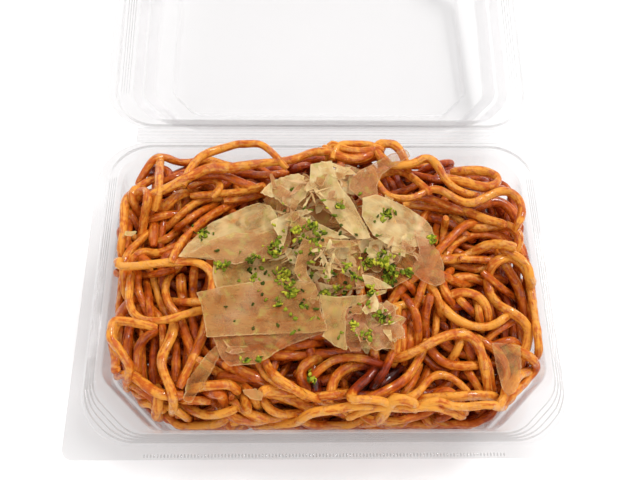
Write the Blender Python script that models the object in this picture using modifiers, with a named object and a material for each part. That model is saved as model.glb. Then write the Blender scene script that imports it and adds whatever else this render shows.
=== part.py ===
"""Yakisoba in a clear hinged food pack, its lid folded back until it lies on the table.

Run with: blender --background --python part.py

Lengths are in metres. +X runs along the hinge, +Y from the front edge to the hinge, +Z up.
The origin is the middle of the tray's underside, so the tray stands on z = 0.
"""

import math
from collections import namedtuple

import bmesh
import bpy
from mathutils import Matrix, Vector

MM = 0.001

# Driving dimensions of the pack.
PACK_WIDTH = 180 * MM
PACK_DEPTH = 130 * MM
TRAY_HEIGHT = 29 * MM  # tabletop to the upper face of the rim
LID_DEPTH = 32 * MM  # rim face to the outside of the lid's top panel
FILM = 0.5 * MM
HINGE_REACH = 3.5 * MM  # rim edge to the hinge axis
HINGE_SLOT = 0.3 * MM  # each half of the hinge stops this far from the axis
SHUT_GAP = 0.4 * MM  # between the two rims when the pack is shut
CLEARANCE = 0.35 * MM  # between the pack and the food, and between pieces of food

ARC_STEPS = 3  # straight edges along each 45 degree bend of a corner
ROUND = 1.707  # a corner whose radius is this many times its cut is one plain arc

# The noodles, heaped as high as the shut lid allows along the hinge and level with the rim in front.
NOODLE = 4.3 * MM
HEAP_TOP = 43 * MM
HEAP_FRONT_EDGE = 29.5 * MM
HEAP_BACK_EDGE = 41 * MM
RELIEF = 1.8 * MM  # how far the strands stand above and below the heap's mean face
HEAP_RINGS = 15
HEAP_SIDE_PARTS = (22, 14)  # divisions of its long and of its short straight sides
HEAP_WANDER = 1.2 * MM  # how far its edge wanders in from the pack

# The bonito shavings.
FLAKE = 0.4 * MM
FLAKE_LAYER = 0.95 * MM
MOUND_CENTRE = Vector((0 * MM, 6 * MM))
MOUND_SEMI_AXES = Vector((41 * MM, 31 * MM))
MOUND_HEIGHT = 3.2 * MM
MOUND_EDGE = 1.2 * MM
MOUND_SPOKES = 32
MOUND_STEPS = 7

HINGE_Y = PACK_DEPTH / 2 + HINGE_REACH
HINGE_Z = TRAY_HEIGHT + SHUT_GAP / 2

Row = namedtuple("Row", "inset height front back shift")
"""One ring of a pressed sheet, in millimetres: its inset from the rim's outline and its height above
the rim, the (cut, radius) of its corners on the front side and on the hinge side, and how much
nearer the rim's outline it runs along the hinge."""


def arc_corner(radius):
    """The (cut, radius) of a corner that is one plain arc."""
    return radius / ROUND, radius


BEVELLED = (19.5, 9)  # the cavity's corners: a straight cut between two soft bends
FOOT_CORNER = (18.5, 9)
PANEL_CORNER = (7.5, 4)

TRAY_ROWS = [
    Row(0, 0, arc_corner(4), arc_corner(20), 0),
    Row(4.2, 0, arc_corner(20), arc_corner(18), 2.1),
    Row(4.9, 1.8, arc_corner(19), arc_corner(17), 2.5),
    Row(8.8, 1.8, (16, 12), arc_corner(14), 4.4),
    Row(10.4, -0.4, BEVELLED, (9, 12), 4.4),
    Row(12.0, -11.0, BEVELLED, (13, 9), 4.4),
    Row(13.0, -11.8, BEVELLED, (14, 9), 4.4),
    Row(15.4, -23.0, (19, 9), (17, 9), 1.6),
    Row(16.8, -24.4, FOOT_CORNER, FOOT_CORNER, 1.2),
    Row(22.8, -25.2, (12, 6), (12, 6), 0.4),
    Row(24.4, -27.6, (9, 5), (9, 5), 0),
    Row(25.6, -28.5, PANEL_CORNER, PANEL_CORNER, 0),
]

LID_ROWS = [
    Row(0, 0, arc_corner(4), arc_corner(20), 0),
    Row(3.7, 0, arc_corner(20), arc_corner(18), 1.9),
    Row(4.3, -2.4, arc_corner(19), arc_corner(17), 2.2),
    Row(9.6, -2.4, (17, 11), arc_corner(13), 4.4),
    Row(10.5, -3.4, BEVELLED, (9, 12), 4.4),
    Row(12.3, -12.0, BEVELLED, (13, 9), 4.4),
    Row(13.2, -12.8, BEVELLED, (14, 9), 4.4),
    Row(15.4, -25.6, (19, 9), (17, 9), 1.6),
    Row(16.8, -27.0, FOOT_CORNER, FOOT_CORNER, 1.2),
    Row(22.8, -27.8, (12, 6), (12, 6), 0.4),
    Row(24.4, -30.6, (9, 5), (9, 5), 0),
    Row(25.6, -31.5, PANEL_CORNER, PANEL_CORNER, 0),
]
WALL_TOP = 4  # the row where the food's cavity begins

# The hinge's half groove: distance beyond the rim's edge and height, in millimetres.
GROOVE = [(0.8, -0.9), (1.9, -0.9), (2.7, 0.0)]

Flake = namedtuple("Flake", "name centre size turn")
"""A large shaving: its centre and its length and width in millimetres, and its turn in degrees.
Each lies on those before it in the list that it crosses."""

FLAKES = [
    Flake("flake_front_under", (-21, -31), (36, 12), 4),
    Flake("flake_left_low", (-31, -2), (25, 12), 0),
    Flake("flake_left_pale", (-36, 15), (34, 14), 34),
    Flake("flake_left_tan", (-28, 9), (29, 12), 10),
    Flake("flake_front_large", (-23, -16), (43, 18), 4),
    Flake("flake_back_left", (-14, 32), (18, 13), 20),
    Flake("flake_back_tall", (6, 27), (32, 10), -62),
    Flake("flake_back_right", (19, 37), (28, 10), 34),
    Flake("flake_right_pale", (27, 19), (27, 15), -36),
    Flake("flake_right_pink", (39, 1), (20, 9), -78),
    Flake("flake_middle", (-2, 4), (19, 15), -8),
    Flake("flake_front_narrow", (3, -22), (18, 8), -78),
    Flake("flake_front_right", (17, -22), (19, 16), -12),
    Flake("flake_left_corner", (-45, -43), (12, 5), 72),
    Flake("flake_right_corner", (63, -34), (20, 7), -82),
]
FLAKE_BOW = 0.2 * MM  # how far a shaving's middle rises above its ends
FLAKE_TAPER = 0.18  # how much narrower one end is than the other
FLAKE_ROUNDING = 0.15  # how far its corners are drawn in, as a share of its size
FLAKE_CELLS = (6, 3)


def clear_scene():
    for old in list(bpy.data.objects):
        bpy.data.objects.remove(old)


def material(name, colour, roughness, alpha=1.0):
    made = bpy.data.materials.new(name)
    made.use_nodes = True
    shader = made.node_tree.nodes["Principled BSDF"]
    shader.inputs["Base Color"].default_value = (*colour, 1.0)
    shader.inputs["Roughness"].default_value = roughness
    shader.inputs["Metallic"].default_value = 0.0
    shader.inputs["Alpha"].default_value = alpha
    return made


def corner(point, along, across, cut, radius):
    """The rounded, bevelled corner at a sharp point, met travelling along and left travelling across."""
    reach = radius * math.tan(math.radians(22.5))
    first = point - along * (cut + reach) + across * radius
    second = point + across * (cut + reach) - along * radius
    points = []
    for centre, start in ((first, 0), (second, 45)):
        for step in range(ARC_STEPS + 1):
            angle = math.radians(start + 45 * step / ARC_STEPS)
            points.append(centre + radius * (along * math.sin(angle) - across * math.cos(angle)))
    return points


def outline(row, side_parts=(1, 1)):
    """The row's closed ring of points, counter-clockwise from the front right corner.

    The straight sides along X and along Y are divided into side_parts."""
    right, rear = Vector((1, 0)), Vector((0, 1))
    x = PACK_WIDTH / 2 - row.inset * MM
    front_y = -PACK_DEPTH / 2 + row.inset * MM
    back_y = PACK_DEPTH / 2 - (row.inset - row.shift) * MM
    front, back = ([size * MM for size in pair] for pair in (row.front, row.back))
    along_x, along_y = side_parts
    sides = [
        (corner(Vector((x, front_y)), right, rear, *front), along_y),
        (corner(Vector((x, back_y)), rear, -right, *back), along_x),
        (corner(Vector((-x, back_y)), -right, -rear, *back), along_y),
        (corner(Vector((-x, front_y)), -rear, right, *front), along_x),
    ]
    ring = []
    for (bend, parts), (following, _) in zip(sides, sides[1:] + sides[:1]):
        ring += bend
        ring += [bend[-1].lerp(following[0], step / parts) for step in range(1, parts)]
    return ring


def row_at(rows, height):
    """The ring of a pressed sheet's wall at a height above the rim, in millimetres."""
    for upper, lower in zip(rows[WALL_TOP:], rows[WALL_TOP + 1 :]):
        if height >= lower.height:
            break
    share = (height - upper.height) / (lower.height - upper.height)

    def mix(a, b):
        return a + (b - a) * share

    return Row(
        mix(upper.inset, lower.inset),
        height,
        tuple(map(mix, upper.front, lower.front)),
        tuple(map(mix, upper.back, lower.back)),
        mix(upper.shift, lower.shift),
    )


def bridge(mesh, lower, upper, closed=True):
    """Joins two rows of vertices with quads whose faces point to the left of the rows."""
    count = len(lower)
    for i in range(count if closed else count - 1):
        j = (i + 1) % count
        mesh.faces.new((lower[i], lower[j], upper[j], upper[i]))


def new_object(name, mesh, collection, skin):
    data = bpy.data.meshes.new(name)
    bmesh.ops.recalc_face_normals(mesh, faces=mesh.faces)
    mesh.to_mesh(data)
    mesh.free()
    data.materials.append(skin)
    data.shade_smooth()
    data.set_sharp_from_angle(angle=math.radians(40))
    made = bpy.data.objects.new(name, data)
    collection.objects.link(made)
    return made


def pressed_sheet(name, rows, collection, skin):
    """A thermoformed half of the pack, rim level at z = 0, hinge at +Y, food side up."""
    mesh = bmesh.new()
    rings = []
    for row in rows:
        rings.append([mesh.verts.new((p.x, p.y, row.height * MM)) for p in outline(row)])
    for outer, inner in zip(rings, rings[1:]):
        bridge(mesh, outer, inner)
    mesh.faces.new(rings[-1])

    # The hinge strip leaves the straight back edge and one bend on each side of it.
    per_corner = 2 * (ARC_STEPS + 1)
    edge = rings[0][2 * per_corner - 2 : 2 * per_corner + 2]
    back = PACK_DEPTH / 2
    slot = [(reach * MM, drop * MM) for reach, drop in GROOVE]
    for reach, drop in [*slot, (HINGE_REACH - HINGE_SLOT, 0)]:
        strip = [mesh.verts.new((v.co.x, back + reach, drop)) for v in edge]
        bridge(mesh, strip, edge, closed=False)
        edge = strip

    bmesh.ops.recalc_face_normals(mesh, faces=mesh.faces)
    made = new_object(name, mesh, collection, skin)
    if made.data.polygons[0].normal.z < 0:
        made.data.flip_normals()
    film = made.modifiers.new("film", "SOLIDIFY")
    film.thickness = FILM
    film.offset = -1
    film.use_even_offset = True
    return made


def lowest_at(points, angle):
    """The lowest height of points, given about the hinge axis, once turned up by an angle."""
    return min(y * math.sin(angle) + z * math.cos(angle) for y, z in points)


def resting_angle(lid):
    """How far the opened lid slopes up from the hinge when its top panel meets the table."""
    graph = bpy.context.evaluated_depsgraph_get()
    solid = lid.evaluated_get(graph).to_mesh()
    drop = SHUT_GAP / 2
    points = [(v.co.y + PACK_DEPTH / 2 + HINGE_REACH, v.co.z - drop) for v in solid.vertices]
    flat, steep = 0.0, math.radians(20)
    for _ in range(40):
        middle = (flat + steep) / 2
        if lowest_at(points, middle) < -HINGE_Z:
            flat = middle
        else:
            steep = middle
    return steep


def smooth_step(low, high, value):
    share = min(max((value - low) / (high - low), 0), 1)
    return share * share * (3 - 2 * share)


def heap_edge(y):
    """The mean height of the noodles' upper face along its outer edge."""
    rise = smooth_step(-50 * MM, 45 * MM, y)
    return HEAP_FRONT_EDGE + (HEAP_BACK_EDGE - HEAP_FRONT_EDGE) * rise


def heap_face(x, y):
    """The mean height of the noodles' upper face."""
    spread = ((x / (79 * MM)) ** 4 + ((y - 2 * MM) / (56 * MM)) ** 4) ** 0.25
    edge = heap_edge(y)
    return edge + (HEAP_TOP - edge) * max(1 - spread * spread, 0) ** 0.8


def strand_relief(x, y):
    """Winding ridges as wide as the bundles of noodles, between -1 and 1."""
    bend = 0.9 * math.sin(x / (17 * MM)) + 0.8 * math.cos(y / (13 * MM))
    across = math.sin(y / (0.5 * NOODLE) + 2.2 * bend)
    along = math.sin(x / (0.8 * NOODLE) - 1.7 * bend)
    lumps = math.sin(x / (11 * MM) + 1.0) * math.sin(y / (9 * MM) + 0.5)
    return 0.45 * across + 0.3 * along + 0.25 * lumps


def heap_side(share):
    """A ring of points on the heap's free side, a share of the way from the rim to its edge.

    It follows the inside of the shut lid, and wanders in from it."""
    bare = outline(row_at(LID_ROWS, LID_ROWS[WALL_TOP].height), HEAP_SIDE_PARTS)
    ring = []
    for i, at_rim in enumerate(bare):
        z = TRAY_HEIGHT + (heap_edge(at_rim.y) - TRAY_HEIGHT) * share
        depth = (z - TRAY_HEIGHT - SHUT_GAP) / MM
        row = row_at(LID_ROWS, min(-depth, LID_ROWS[WALL_TOP].height))
        point = outline(row, HEAP_SIDE_PARTS)[i]
        wander = HEAP_WANDER * (1.2 + math.sin(at_rim.x / (6 * MM)) * math.cos(at_rim.y / (7 * MM)))
        inward = 1 - (CLEARANCE + wander * share) / point.length
        ring.append(Vector((*(point * inward), z)))
    return ring


def noodle_heap(collection, skin):
    """The noodles as one solid: the tray's form below, the lid's beside it, a rough loaf above."""
    mesh = bmesh.new()
    clear = CLEARANCE / MM
    rings = []
    for row in reversed(TRAY_ROWS[WALL_TOP:]):
        row = row._replace(inset=row.inset + clear, height=row.height + clear)
        z = TRAY_HEIGHT + row.height * MM
        rings.append([Vector((*point, z)) for point in outline(row, HEAP_SIDE_PARTS)])
    rings += [heap_side(0.5), heap_side(1)]
    edge = rings[-1]
    for step in range(1, HEAP_RINGS):
        share = 1 - step / HEAP_RINGS
        ring = []
        for point in edge:
            x, y = point.x * share, point.y * share
            ring.append(Vector((x, y, heap_face(x, y) + RELIEF * strand_relief(x, y))))
        rings.append(ring)
    rows = [[mesh.verts.new(point) for point in ring] for ring in rings]
    for lower, upper in zip(rows, rows[1:]):
        bridge(mesh, lower, upper)
    mesh.faces.new(reversed(rows[0]))
    bmesh.ops.triangle_fill(mesh, edges=[e for e in mesh.edges if e.is_boundary])
    return new_object("noodles", mesh, collection, skin)


def mound_spread(x, y):
    """How far out a place is from the mound's centre, 1 being its mean edge."""
    away_x = (x - MOUND_CENTRE.x) / MOUND_SEMI_AXES.x
    away_y = (y - MOUND_CENTRE.y) / MOUND_SEMI_AXES.y
    return math.hypot(away_x, away_y)


def mound_rise(x, y):
    """How far the mound of shavings swells above its edge."""
    return MOUND_HEIGHT * max(1 - mound_spread(x, y) ** 2, 0) ** 0.9


def mound_floor(x, y):
    """The level just clear of the noodles' highest strands."""
    return heap_face(x, y) + RELIEF + CLEARANCE


def flake_floor(x, y):
    """The smooth face that the large shavings drape over, on the mound and beside it."""
    on_mound = 1 - smooth_step(1.05, 1.4, mound_spread(x, y))
    return mound_floor(x, y) + mound_rise(x, y) + (MOUND_EDGE + CLEARANCE) * on_mound


def shaving_mound(collection, skin):
    """The small curled shavings under the large ones, as one solid."""
    mesh = bmesh.new()
    upper, lower = [], []
    for step in range(1, MOUND_STEPS + 1):
        above, below = [], []
        for spoke in range(MOUND_SPOKES):
            angle = 2 * math.pi * spoke / MOUND_SPOKES
            share = step / MOUND_STEPS
            ragged = 1 + share ** 4 * (0.06 * math.sin(3 * angle + 1) + 0.05 * math.sin(7 * angle))
            x = MOUND_CENTRE.x + MOUND_SEMI_AXES.x * share * ragged * math.cos(angle)
            y = MOUND_CENTRE.y + MOUND_SEMI_AXES.y * share * ragged * math.sin(angle)
            crumple = 0.5 + 0.5 * math.sin(x / (2.3 * MM) + 2 * math.sin(y / (4 * MM)))
            floor = mound_floor(x, y)
            rise = mound_rise(x, y) * (1 - 0.3 * crumple) + MOUND_EDGE * (1 - 0.5 * crumple)
            above.append(mesh.verts.new((x, y, floor + rise)))
            below.append(mesh.verts.new((x, y, floor)))
        upper.append(above)
        lower.append(below)
    for rings in (upper, lower):
        for inner, outer in zip(rings, rings[1:]):
            bridge(mesh, inner, outer)
        mesh.faces.new(rings[0])
    bridge(mesh, upper[-1], lower[-1])
    return new_object("bonito_mound", mesh, collection, skin)


def crosses(one, other):
    """Whether two large shavings overlap as seen from above, each taken as its full rectangle."""
    turns = [math.radians(flake.turn) for flake in (one, other)]
    frames = [(Vector((math.cos(t), math.sin(t))), Vector((-math.sin(t), math.cos(t)))) for t in turns]
    apart = Vector(one.centre) - Vector(other.centre)
    for axis in frames[0] + frames[1]:
        reach = 0
        for flake, frame in zip((one, other), frames):
            reach += sum(abs(side.dot(axis)) * size / 2 for side, size in zip(frame, flake.size))
        if abs(apart.dot(axis)) > reach * (1 + FLAKE_TAPER):
            return False
    return True


def flake_layers(flakes):
    """How many shavings lie under each one."""
    layers = []
    for i, flake in enumerate(flakes):
        below = [layers[j] for j in range(i) if crosses(flake, flakes[j])]
        layers.append(max(below) + 1 if below else 0)
    return layers


def large_flake(flake, layer, collection, skin):
    """One large shaving, draped on the face below it and a little bowed."""
    mesh = bmesh.new()
    along, across = FLAKE_CELLS
    bmesh.ops.create_grid(mesh, x_segments=along, y_segments=across, size=0.5)
    length, width = (side * MM for side in flake.size)
    turn = Matrix.Rotation(math.radians(flake.turn), 2)
    for vertex in mesh.verts:
        u, v = vertex.co.x, vertex.co.y
        rounding = FLAKE_ROUNDING * (4 * u * v) ** 2
        ragged = 1 + 0.06 * math.sin(9 * u + flake.centre[0])
        u, v = u * (1 - rounding), v * (1 - rounding) * ragged * (1 - FLAKE_TAPER * u)
        place = turn @ Vector((u * length, v * width))
        x, y = place.x + flake.centre[0] * MM, place.y + flake.centre[1] * MM
        bow = FLAKE_BOW * (1 - 4 * u * u)
        vertex.co = (x, y, flake_floor(x, y) + FLAKE / 2 + layer * FLAKE_LAYER + bow)
    made = new_object(flake.name, mesh, collection, skin)
    sheet = made.modifiers.new("thickness", "SOLIDIFY")
    sheet.thickness = FLAKE
    sheet.offset = 0
    return made


def build():
    clear_scene()
    pack = bpy.data.collections.new("yakisoba_pack")
    bpy.context.scene.collection.children.link(pack)

    clear_film = material("clear_film", (0.93, 0.94, 0.95), 0.08, alpha=0.3)
    noodle_skin = material("noodle", (0.62, 0.29, 0.09), 0.35)
    pale_flake = material("bonito_pale", (0.78, 0.62, 0.40), 0.5)
    tan_flake = material("bonito_tan", (0.66, 0.44, 0.24), 0.5)

    tray = pressed_sheet("tray", TRAY_ROWS, pack, clear_film)
    tray.location.z = TRAY_HEIGHT

    hinge = bpy.data.objects.new("lid_hinge", None)
    pack.objects.link(hinge)
    hinge.location = (0, HINGE_Y, HINGE_Z)
    lid = pressed_sheet("lid", LID_ROWS, pack, clear_film)
    # The lid is pressed like the tray and turned half round about Z, its hinge edge to the axis.
    lid.data.transform(Matrix.Rotation(math.pi, 4, "Z"))
    bpy.context.view_layer.update()
    slope = resting_angle(lid)
    lid.parent = hinge
    lid.location = (0, HINGE_Y, -SHUT_GAP / 2)
    hinge.rotation_euler.x = slope
    print(f"the open lid slopes up by {math.degrees(slope):.3f} degrees")

    noodle_heap(pack, noodle_skin)
    shaving_mound(pack, pale_flake)
    for flake, layer in zip(FLAKES, flake_layers(FLAKES)):
        large_flake(flake, layer, pack, tan_flake if layer % 2 else pale_flake)


build()
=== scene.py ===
"""The looks of a portion of yakisoba in its clear hinged pack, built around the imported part.

The part's own frame is kept: +X runs along the hinge, +Y from the front edge to the hinge, +Z up,
and the origin is the middle of the tray's underside. Sizes in this script are in millimetres, and
the mesh makers turn them into Blender's metres.
"""

from __future__ import annotations

import logging
import math
from collections.abc import Callable, Iterable, Sequence
from dataclasses import dataclass, field
from enum import Enum
from typing import Any

import bpy
import numpy as np
from mathutils import Matrix, Vector
from mathutils.geometry import delaunay_2d_cdt

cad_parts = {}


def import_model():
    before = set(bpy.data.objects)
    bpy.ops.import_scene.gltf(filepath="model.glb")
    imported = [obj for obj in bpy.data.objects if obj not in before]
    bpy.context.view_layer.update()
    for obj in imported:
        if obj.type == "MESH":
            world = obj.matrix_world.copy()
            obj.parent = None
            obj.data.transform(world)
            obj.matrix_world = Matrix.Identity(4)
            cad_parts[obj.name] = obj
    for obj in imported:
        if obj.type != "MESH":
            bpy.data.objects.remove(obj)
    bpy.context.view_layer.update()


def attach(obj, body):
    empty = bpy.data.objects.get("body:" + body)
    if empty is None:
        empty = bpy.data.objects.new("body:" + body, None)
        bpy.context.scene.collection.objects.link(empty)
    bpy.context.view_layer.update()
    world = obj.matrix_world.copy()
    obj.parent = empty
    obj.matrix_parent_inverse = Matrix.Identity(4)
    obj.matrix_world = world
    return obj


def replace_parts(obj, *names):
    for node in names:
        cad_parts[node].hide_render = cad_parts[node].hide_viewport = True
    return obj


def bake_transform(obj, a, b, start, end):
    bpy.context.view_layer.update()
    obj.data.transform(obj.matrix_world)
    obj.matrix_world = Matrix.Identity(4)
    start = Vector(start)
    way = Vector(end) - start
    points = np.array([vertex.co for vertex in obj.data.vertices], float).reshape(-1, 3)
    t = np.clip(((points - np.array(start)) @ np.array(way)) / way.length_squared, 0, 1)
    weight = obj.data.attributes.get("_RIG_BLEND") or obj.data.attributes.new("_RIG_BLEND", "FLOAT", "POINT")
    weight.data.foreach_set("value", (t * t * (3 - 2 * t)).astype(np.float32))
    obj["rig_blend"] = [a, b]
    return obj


MM = 0.001
TINY = 1e-9  # keeps a division by a length of nothing safe
ANY_PHASE = 6.0  # radians, nearly a full turn

Array = np.ndarray
Colour = tuple[float, float, float]
Place = tuple[float, float]

log = logging.getLogger("yakisoba")


def srgb(red: int, green: int, blue: int) -> Colour:
    """The linear colour of a display colour given from 0 to 255."""

    def linear(value: int) -> float:
        """One channel of it."""
        share = value / 255
        return share / 12.92 if share <= 0.04045 else ((share + 0.055) / 1.055) ** 2.4

    return linear(red), linear(green), linear(blue)


# ---------------------------------------------------------------------------------------------
# Node trees
# ---------------------------------------------------------------------------------------------


class TreeWriter:
    """Adds nodes to a shader or geometry tree and links them."""

    def __init__(self, tree: bpy.types.NodeTree) -> None:
        """Starts on an empty tree."""
        self.tree = tree
        tree.nodes.clear()

    def feed(self, socket: bpy.types.NodeSocket, value: Any) -> None:
        """Links or sets one input.

        Args:
            socket: the input.
            value: a Channel or a socket to link, or a plain value.
        """
        if isinstance(value, Channel):
            value = value.socket
        if isinstance(value, bpy.types.NodeSocket):
            self.tree.links.new(value, socket)
        elif socket.type == "RGBA":
            socket.default_value = (*value[:3], 1.0)
        else:
            socket.default_value = value

    def node(
        self,
        kind: str,
        settings: dict[str, Any] | None = None,
        values: dict[str | int, Any] | None = None,
    ) -> bpy.types.Node:
        """Adds one node.

        Args:
            kind: the node's type, such as "ShaderNodeMath".
            settings: the node's own properties, set first; "stops" fills a ramp's element list.
            values: what its inputs hold, by socket name or number.

        Returns:
            The new node.
        """
        made = self.tree.nodes.new(kind)
        for name, value in (settings or {}).items():
            if name == "stops":
                fill_ramp(made.color_ramp, value)
            else:
                setattr(made, name, value)
        for key, value in (values or {}).items():
            self.feed(made.inputs[key], value)
        return made


def fill_ramp(ramp: bpy.types.ColorRamp, stops: Sequence[tuple[float, Colour]]) -> None:
    """Gives a colour ramp its stops.

    Args:
        ramp: the ramp, fresh from its node.
        stops: each stop's place from 0 to 1 and its colour.
    """
    for _ in stops[2:]:
        ramp.elements.new(0.5)
    for element, (place, colour) in zip(ramp.elements, stops):
        element.position = place
        element.color = (*colour, 1.0)


class Channel:
    """A value in a node tree. Python's arithmetic on it adds Math nodes."""

    def __init__(self, writer: TreeWriter, socket: bpy.types.NodeSocket) -> None:
        """Wraps an output socket."""
        self.writer = writer
        self.socket = socket

    def _math(self, operation: str, *operands: Any) -> Channel:
        """Adds a Math node on the operands."""
        node = self.writer.node("ShaderNodeMath", {"operation": operation}, dict(enumerate(operands)))
        return Channel(self.writer, node.outputs[0])

    def __add__(self, other: Any) -> Channel:
        """self + other."""
        return self._math("ADD", self, other)

    __radd__ = __add__

    def __sub__(self, other: Any) -> Channel:
        """self - other."""
        return self._math("SUBTRACT", self, other)

    def __rsub__(self, other: Any) -> Channel:
        """other - self."""
        return self._math("SUBTRACT", other, self)

    def __mul__(self, other: Any) -> Channel:
        """self * other."""
        return self._math("MULTIPLY", self, other)

    __rmul__ = __mul__

    def __pow__(self, other: Any) -> Channel:
        """self ** other."""
        return self._math("POWER", self, other)

    def step(self, low: float, high: float) -> Channel:
        """Rises smoothly from 0 at low to 1 at high; low above high makes it fall."""
        node = self.writer.node(
            "ShaderNodeMapRange",
            {"interpolation_type": "SMOOTHSTEP"},
            {"Value": self, "From Min": low, "From Max": high},
        )
        return Channel(self.writer, node.outputs["Result"])

    def clamped(self) -> Channel:
        """The value held between 0 and 1."""
        node = self.writer.node("ShaderNodeClamp", values={"Value": self})
        return Channel(self.writer, node.outputs["Result"])


class FinishWriter(TreeWriter):
    """Writes one material as nodes around a Principled shader."""

    def __init__(self, name: str) -> None:
        """Starts a material with only its output."""
        self.material = bpy.data.materials.new(name)
        self.material.use_nodes = True
        super().__init__(self.material.node_tree)
        self.output = self.node("ShaderNodeOutputMaterial")
        self.place = self.node("ShaderNodeTexCoord").outputs["Object"]

    def principled(self, **values: Any) -> bpy.types.Node:
        """Adds the Principled shader.

        Args:
            values: what its sockets hold, with underscores for the spaces in their names.

        Returns:
            The shader node.
        """
        named = {name.replace("_", " "): value for name, value in values.items()}
        return self.node("ShaderNodeBsdfPrincipled", values=named)

    def surface(self, shader: bpy.types.Node) -> bpy.types.Material:
        """Links the shader to the output and returns the finished material."""
        self.feed(self.output.inputs["Surface"], shader.outputs[0])
        return self.material

    def moved(self, scale: tuple[float, float, float], vector: Any = None) -> bpy.types.NodeSocket:
        """Coordinates scaled along each axis."""
        values = {"Vector": vector or self.place, "Scale": scale}
        return self.node("ShaderNodeMapping", values=values).outputs[0]

    def noise(
        self,
        size: float,
        detail: float = 2.0,
        distortion: float = 0.0,
        vector: Any = None,
    ) -> Channel:
        """Soft random blotches.

        Args:
            size: a blotch's size in millimetres.
            detail: how many finer layers are added.
            distortion: how far the blotches are stirred.
            vector: the coordinates, or None for the object's own.

        Returns:
            A value from 0 to 1, mostly near 0.5.
        """
        values = {
            "Vector": vector or self.place,
            "Scale": 1 / (size * MM),
            "Detail": detail,
            "Distortion": distortion,
        }
        return Channel(self, self.node("ShaderNodeTexNoise", values=values).outputs[0])

    def attribute(self, name: str) -> Channel:
        """A number that the mesh stores at its points."""
        node = self.node("ShaderNodeAttribute", {"attribute_name": name})
        return Channel(self, node.outputs["Fac"])

    def blend(self, share: Any, first: Any, second: Any) -> bpy.types.NodeSocket:
        """The colour that lies a share of the way from the first to the second."""
        mix = self.node("ShaderNodeMix", {"data_type": "RGBA"}, {0: share, 6: first, 7: second})
        return mix.outputs[2]

    def bump(self, height: Channel, depth: float) -> bpy.types.NodeSocket:
        """A normal that shows a height field.

        Args:
            height: the field, from 0 to 1.
            depth: how deep its range is, in millimetres.

        Returns:
            The socket for a shader's Normal.
        """
        values = {"Height": height, "Distance": depth * MM, "Strength": 1.0}
        return self.node("ShaderNodeBump", values=values).outputs[0]


class ShapeRecipe(TreeWriter):
    """A Geometry Nodes tree with named inputs for its sizes."""

    def __init__(self, name: str) -> None:
        """Starts a tree that takes one geometry and gives one back."""
        super().__init__(bpy.data.node_groups.new(name, "GeometryNodeTree"))
        self.tree.is_modifier = True
        self.sockets: dict[str, str] = {}
        self.tree.interface.new_socket("Geometry", in_out="INPUT", socket_type="NodeSocketGeometry")
        self.tree.interface.new_socket("Geometry", in_out="OUTPUT", socket_type="NodeSocketGeometry")
        self.inlet = self.node("NodeGroupInput")
        self.outlet = self.node("NodeGroupOutput")

    @property
    def geometry(self) -> bpy.types.NodeSocket:
        """What the modifier's object holds."""
        return self.inlet.outputs["Geometry"]

    def size(self, name: str, whole: bool = False) -> Channel:
        """Adds a named input.

        Args:
            name: what the input is called.
            whole: whether it is a count and not a length.

        Returns:
            The input, for use inside the tree.
        """
        kind = "NodeSocketInt" if whole else "NodeSocketFloat"
        item = self.tree.interface.new_socket(name, in_out="INPUT", socket_type=kind)
        self.sockets[name] = item.identifier
        return Channel(self, self.inlet.outputs[name])

    def stored(self, name: str, kind: str = "FLOAT") -> bpy.types.NodeSocket:
        """A value that the incoming mesh stores at its points."""
        node = self.node("GeometryNodeInputNamedAttribute", {"data_type": kind}, {"Name": name})
        return node.outputs["Attribute"]

    def close(self, geometry: bpy.types.NodeSocket, skin: bpy.types.Material) -> None:
        """Ends the tree: real meshes, with one material.

        Args:
            geometry: what has been made.
            skin: its material.
        """
        real = self.node("GeometryNodeRealizeInstances", values={"Geometry": geometry})
        dressed = self.node(
            "GeometryNodeSetMaterial", values={"Geometry": real.outputs[0], "Material": skin}
        )
        self.feed(self.outlet.inputs["Geometry"], dressed.outputs[0])

    def grow(self, seed: bpy.types.Object, sizes: dict[str, float]) -> bpy.types.Object:
        """Runs the tree on an object and keeps the result as its plain mesh.

        Args:
            seed: the object that holds the points or lines to start from.
            sizes: each named input's value, in metres where it is a length.

        Returns:
            The same object with its new mesh and no modifier.
        """
        modifier = seed.modifiers.new(self.tree.name, "NODES")
        modifier.node_group = self.tree
        for name, value in sizes.items():
            modifier[self.sockets[name]] = value
        return applied(seed)


# ---------------------------------------------------------------------------------------------
# Meshes
# ---------------------------------------------------------------------------------------------


def applied(piece: bpy.types.Object) -> bpy.types.Object:
    """Turns an object's modifiers into plain mesh and removes them."""
    graph = bpy.context.evaluated_depsgraph_get()
    made = bpy.data.meshes.new_from_object(piece.evaluated_get(graph))
    old = piece.data
    piece.modifiers.clear()
    piece.data = made
    bpy.data.meshes.remove(old)
    made.name = piece.name
    return piece


def in_scene(name: str, data: bpy.types.ID) -> bpy.types.Object:
    """Makes an object of a mesh, a lamp or a camera and puts it in the scene."""
    made = bpy.data.objects.new(name, data)
    bpy.context.scene.collection.objects.link(made)
    return made


def new_piece(
    name: str,
    points: Iterable[Sequence[float]],
    faces: Sequence[Sequence[int]] = (),
    edges: Sequence[Sequence[int]] = (),
    skin: bpy.types.Material | None = None,
) -> bpy.types.Object:
    """Makes a mesh object in the scene.

    Args:
        name: the piece's name.
        points: its points, in millimetres.
        faces: the points of each face, by number.
        edges: the points of each loose edge, by number.
        skin: its material.

    Returns:
        The object, at the origin.
    """
    data = bpy.data.meshes.new(name)
    data.from_pydata((np.asarray(points, float) * MM).tolist(), list(edges), list(faces))
    if skin is not None:
        data.materials.append(skin)
    return in_scene(name, data)


FOLD_ANGLE = 50.0  # degrees from which a fold in something soft is shaded as an edge


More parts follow.
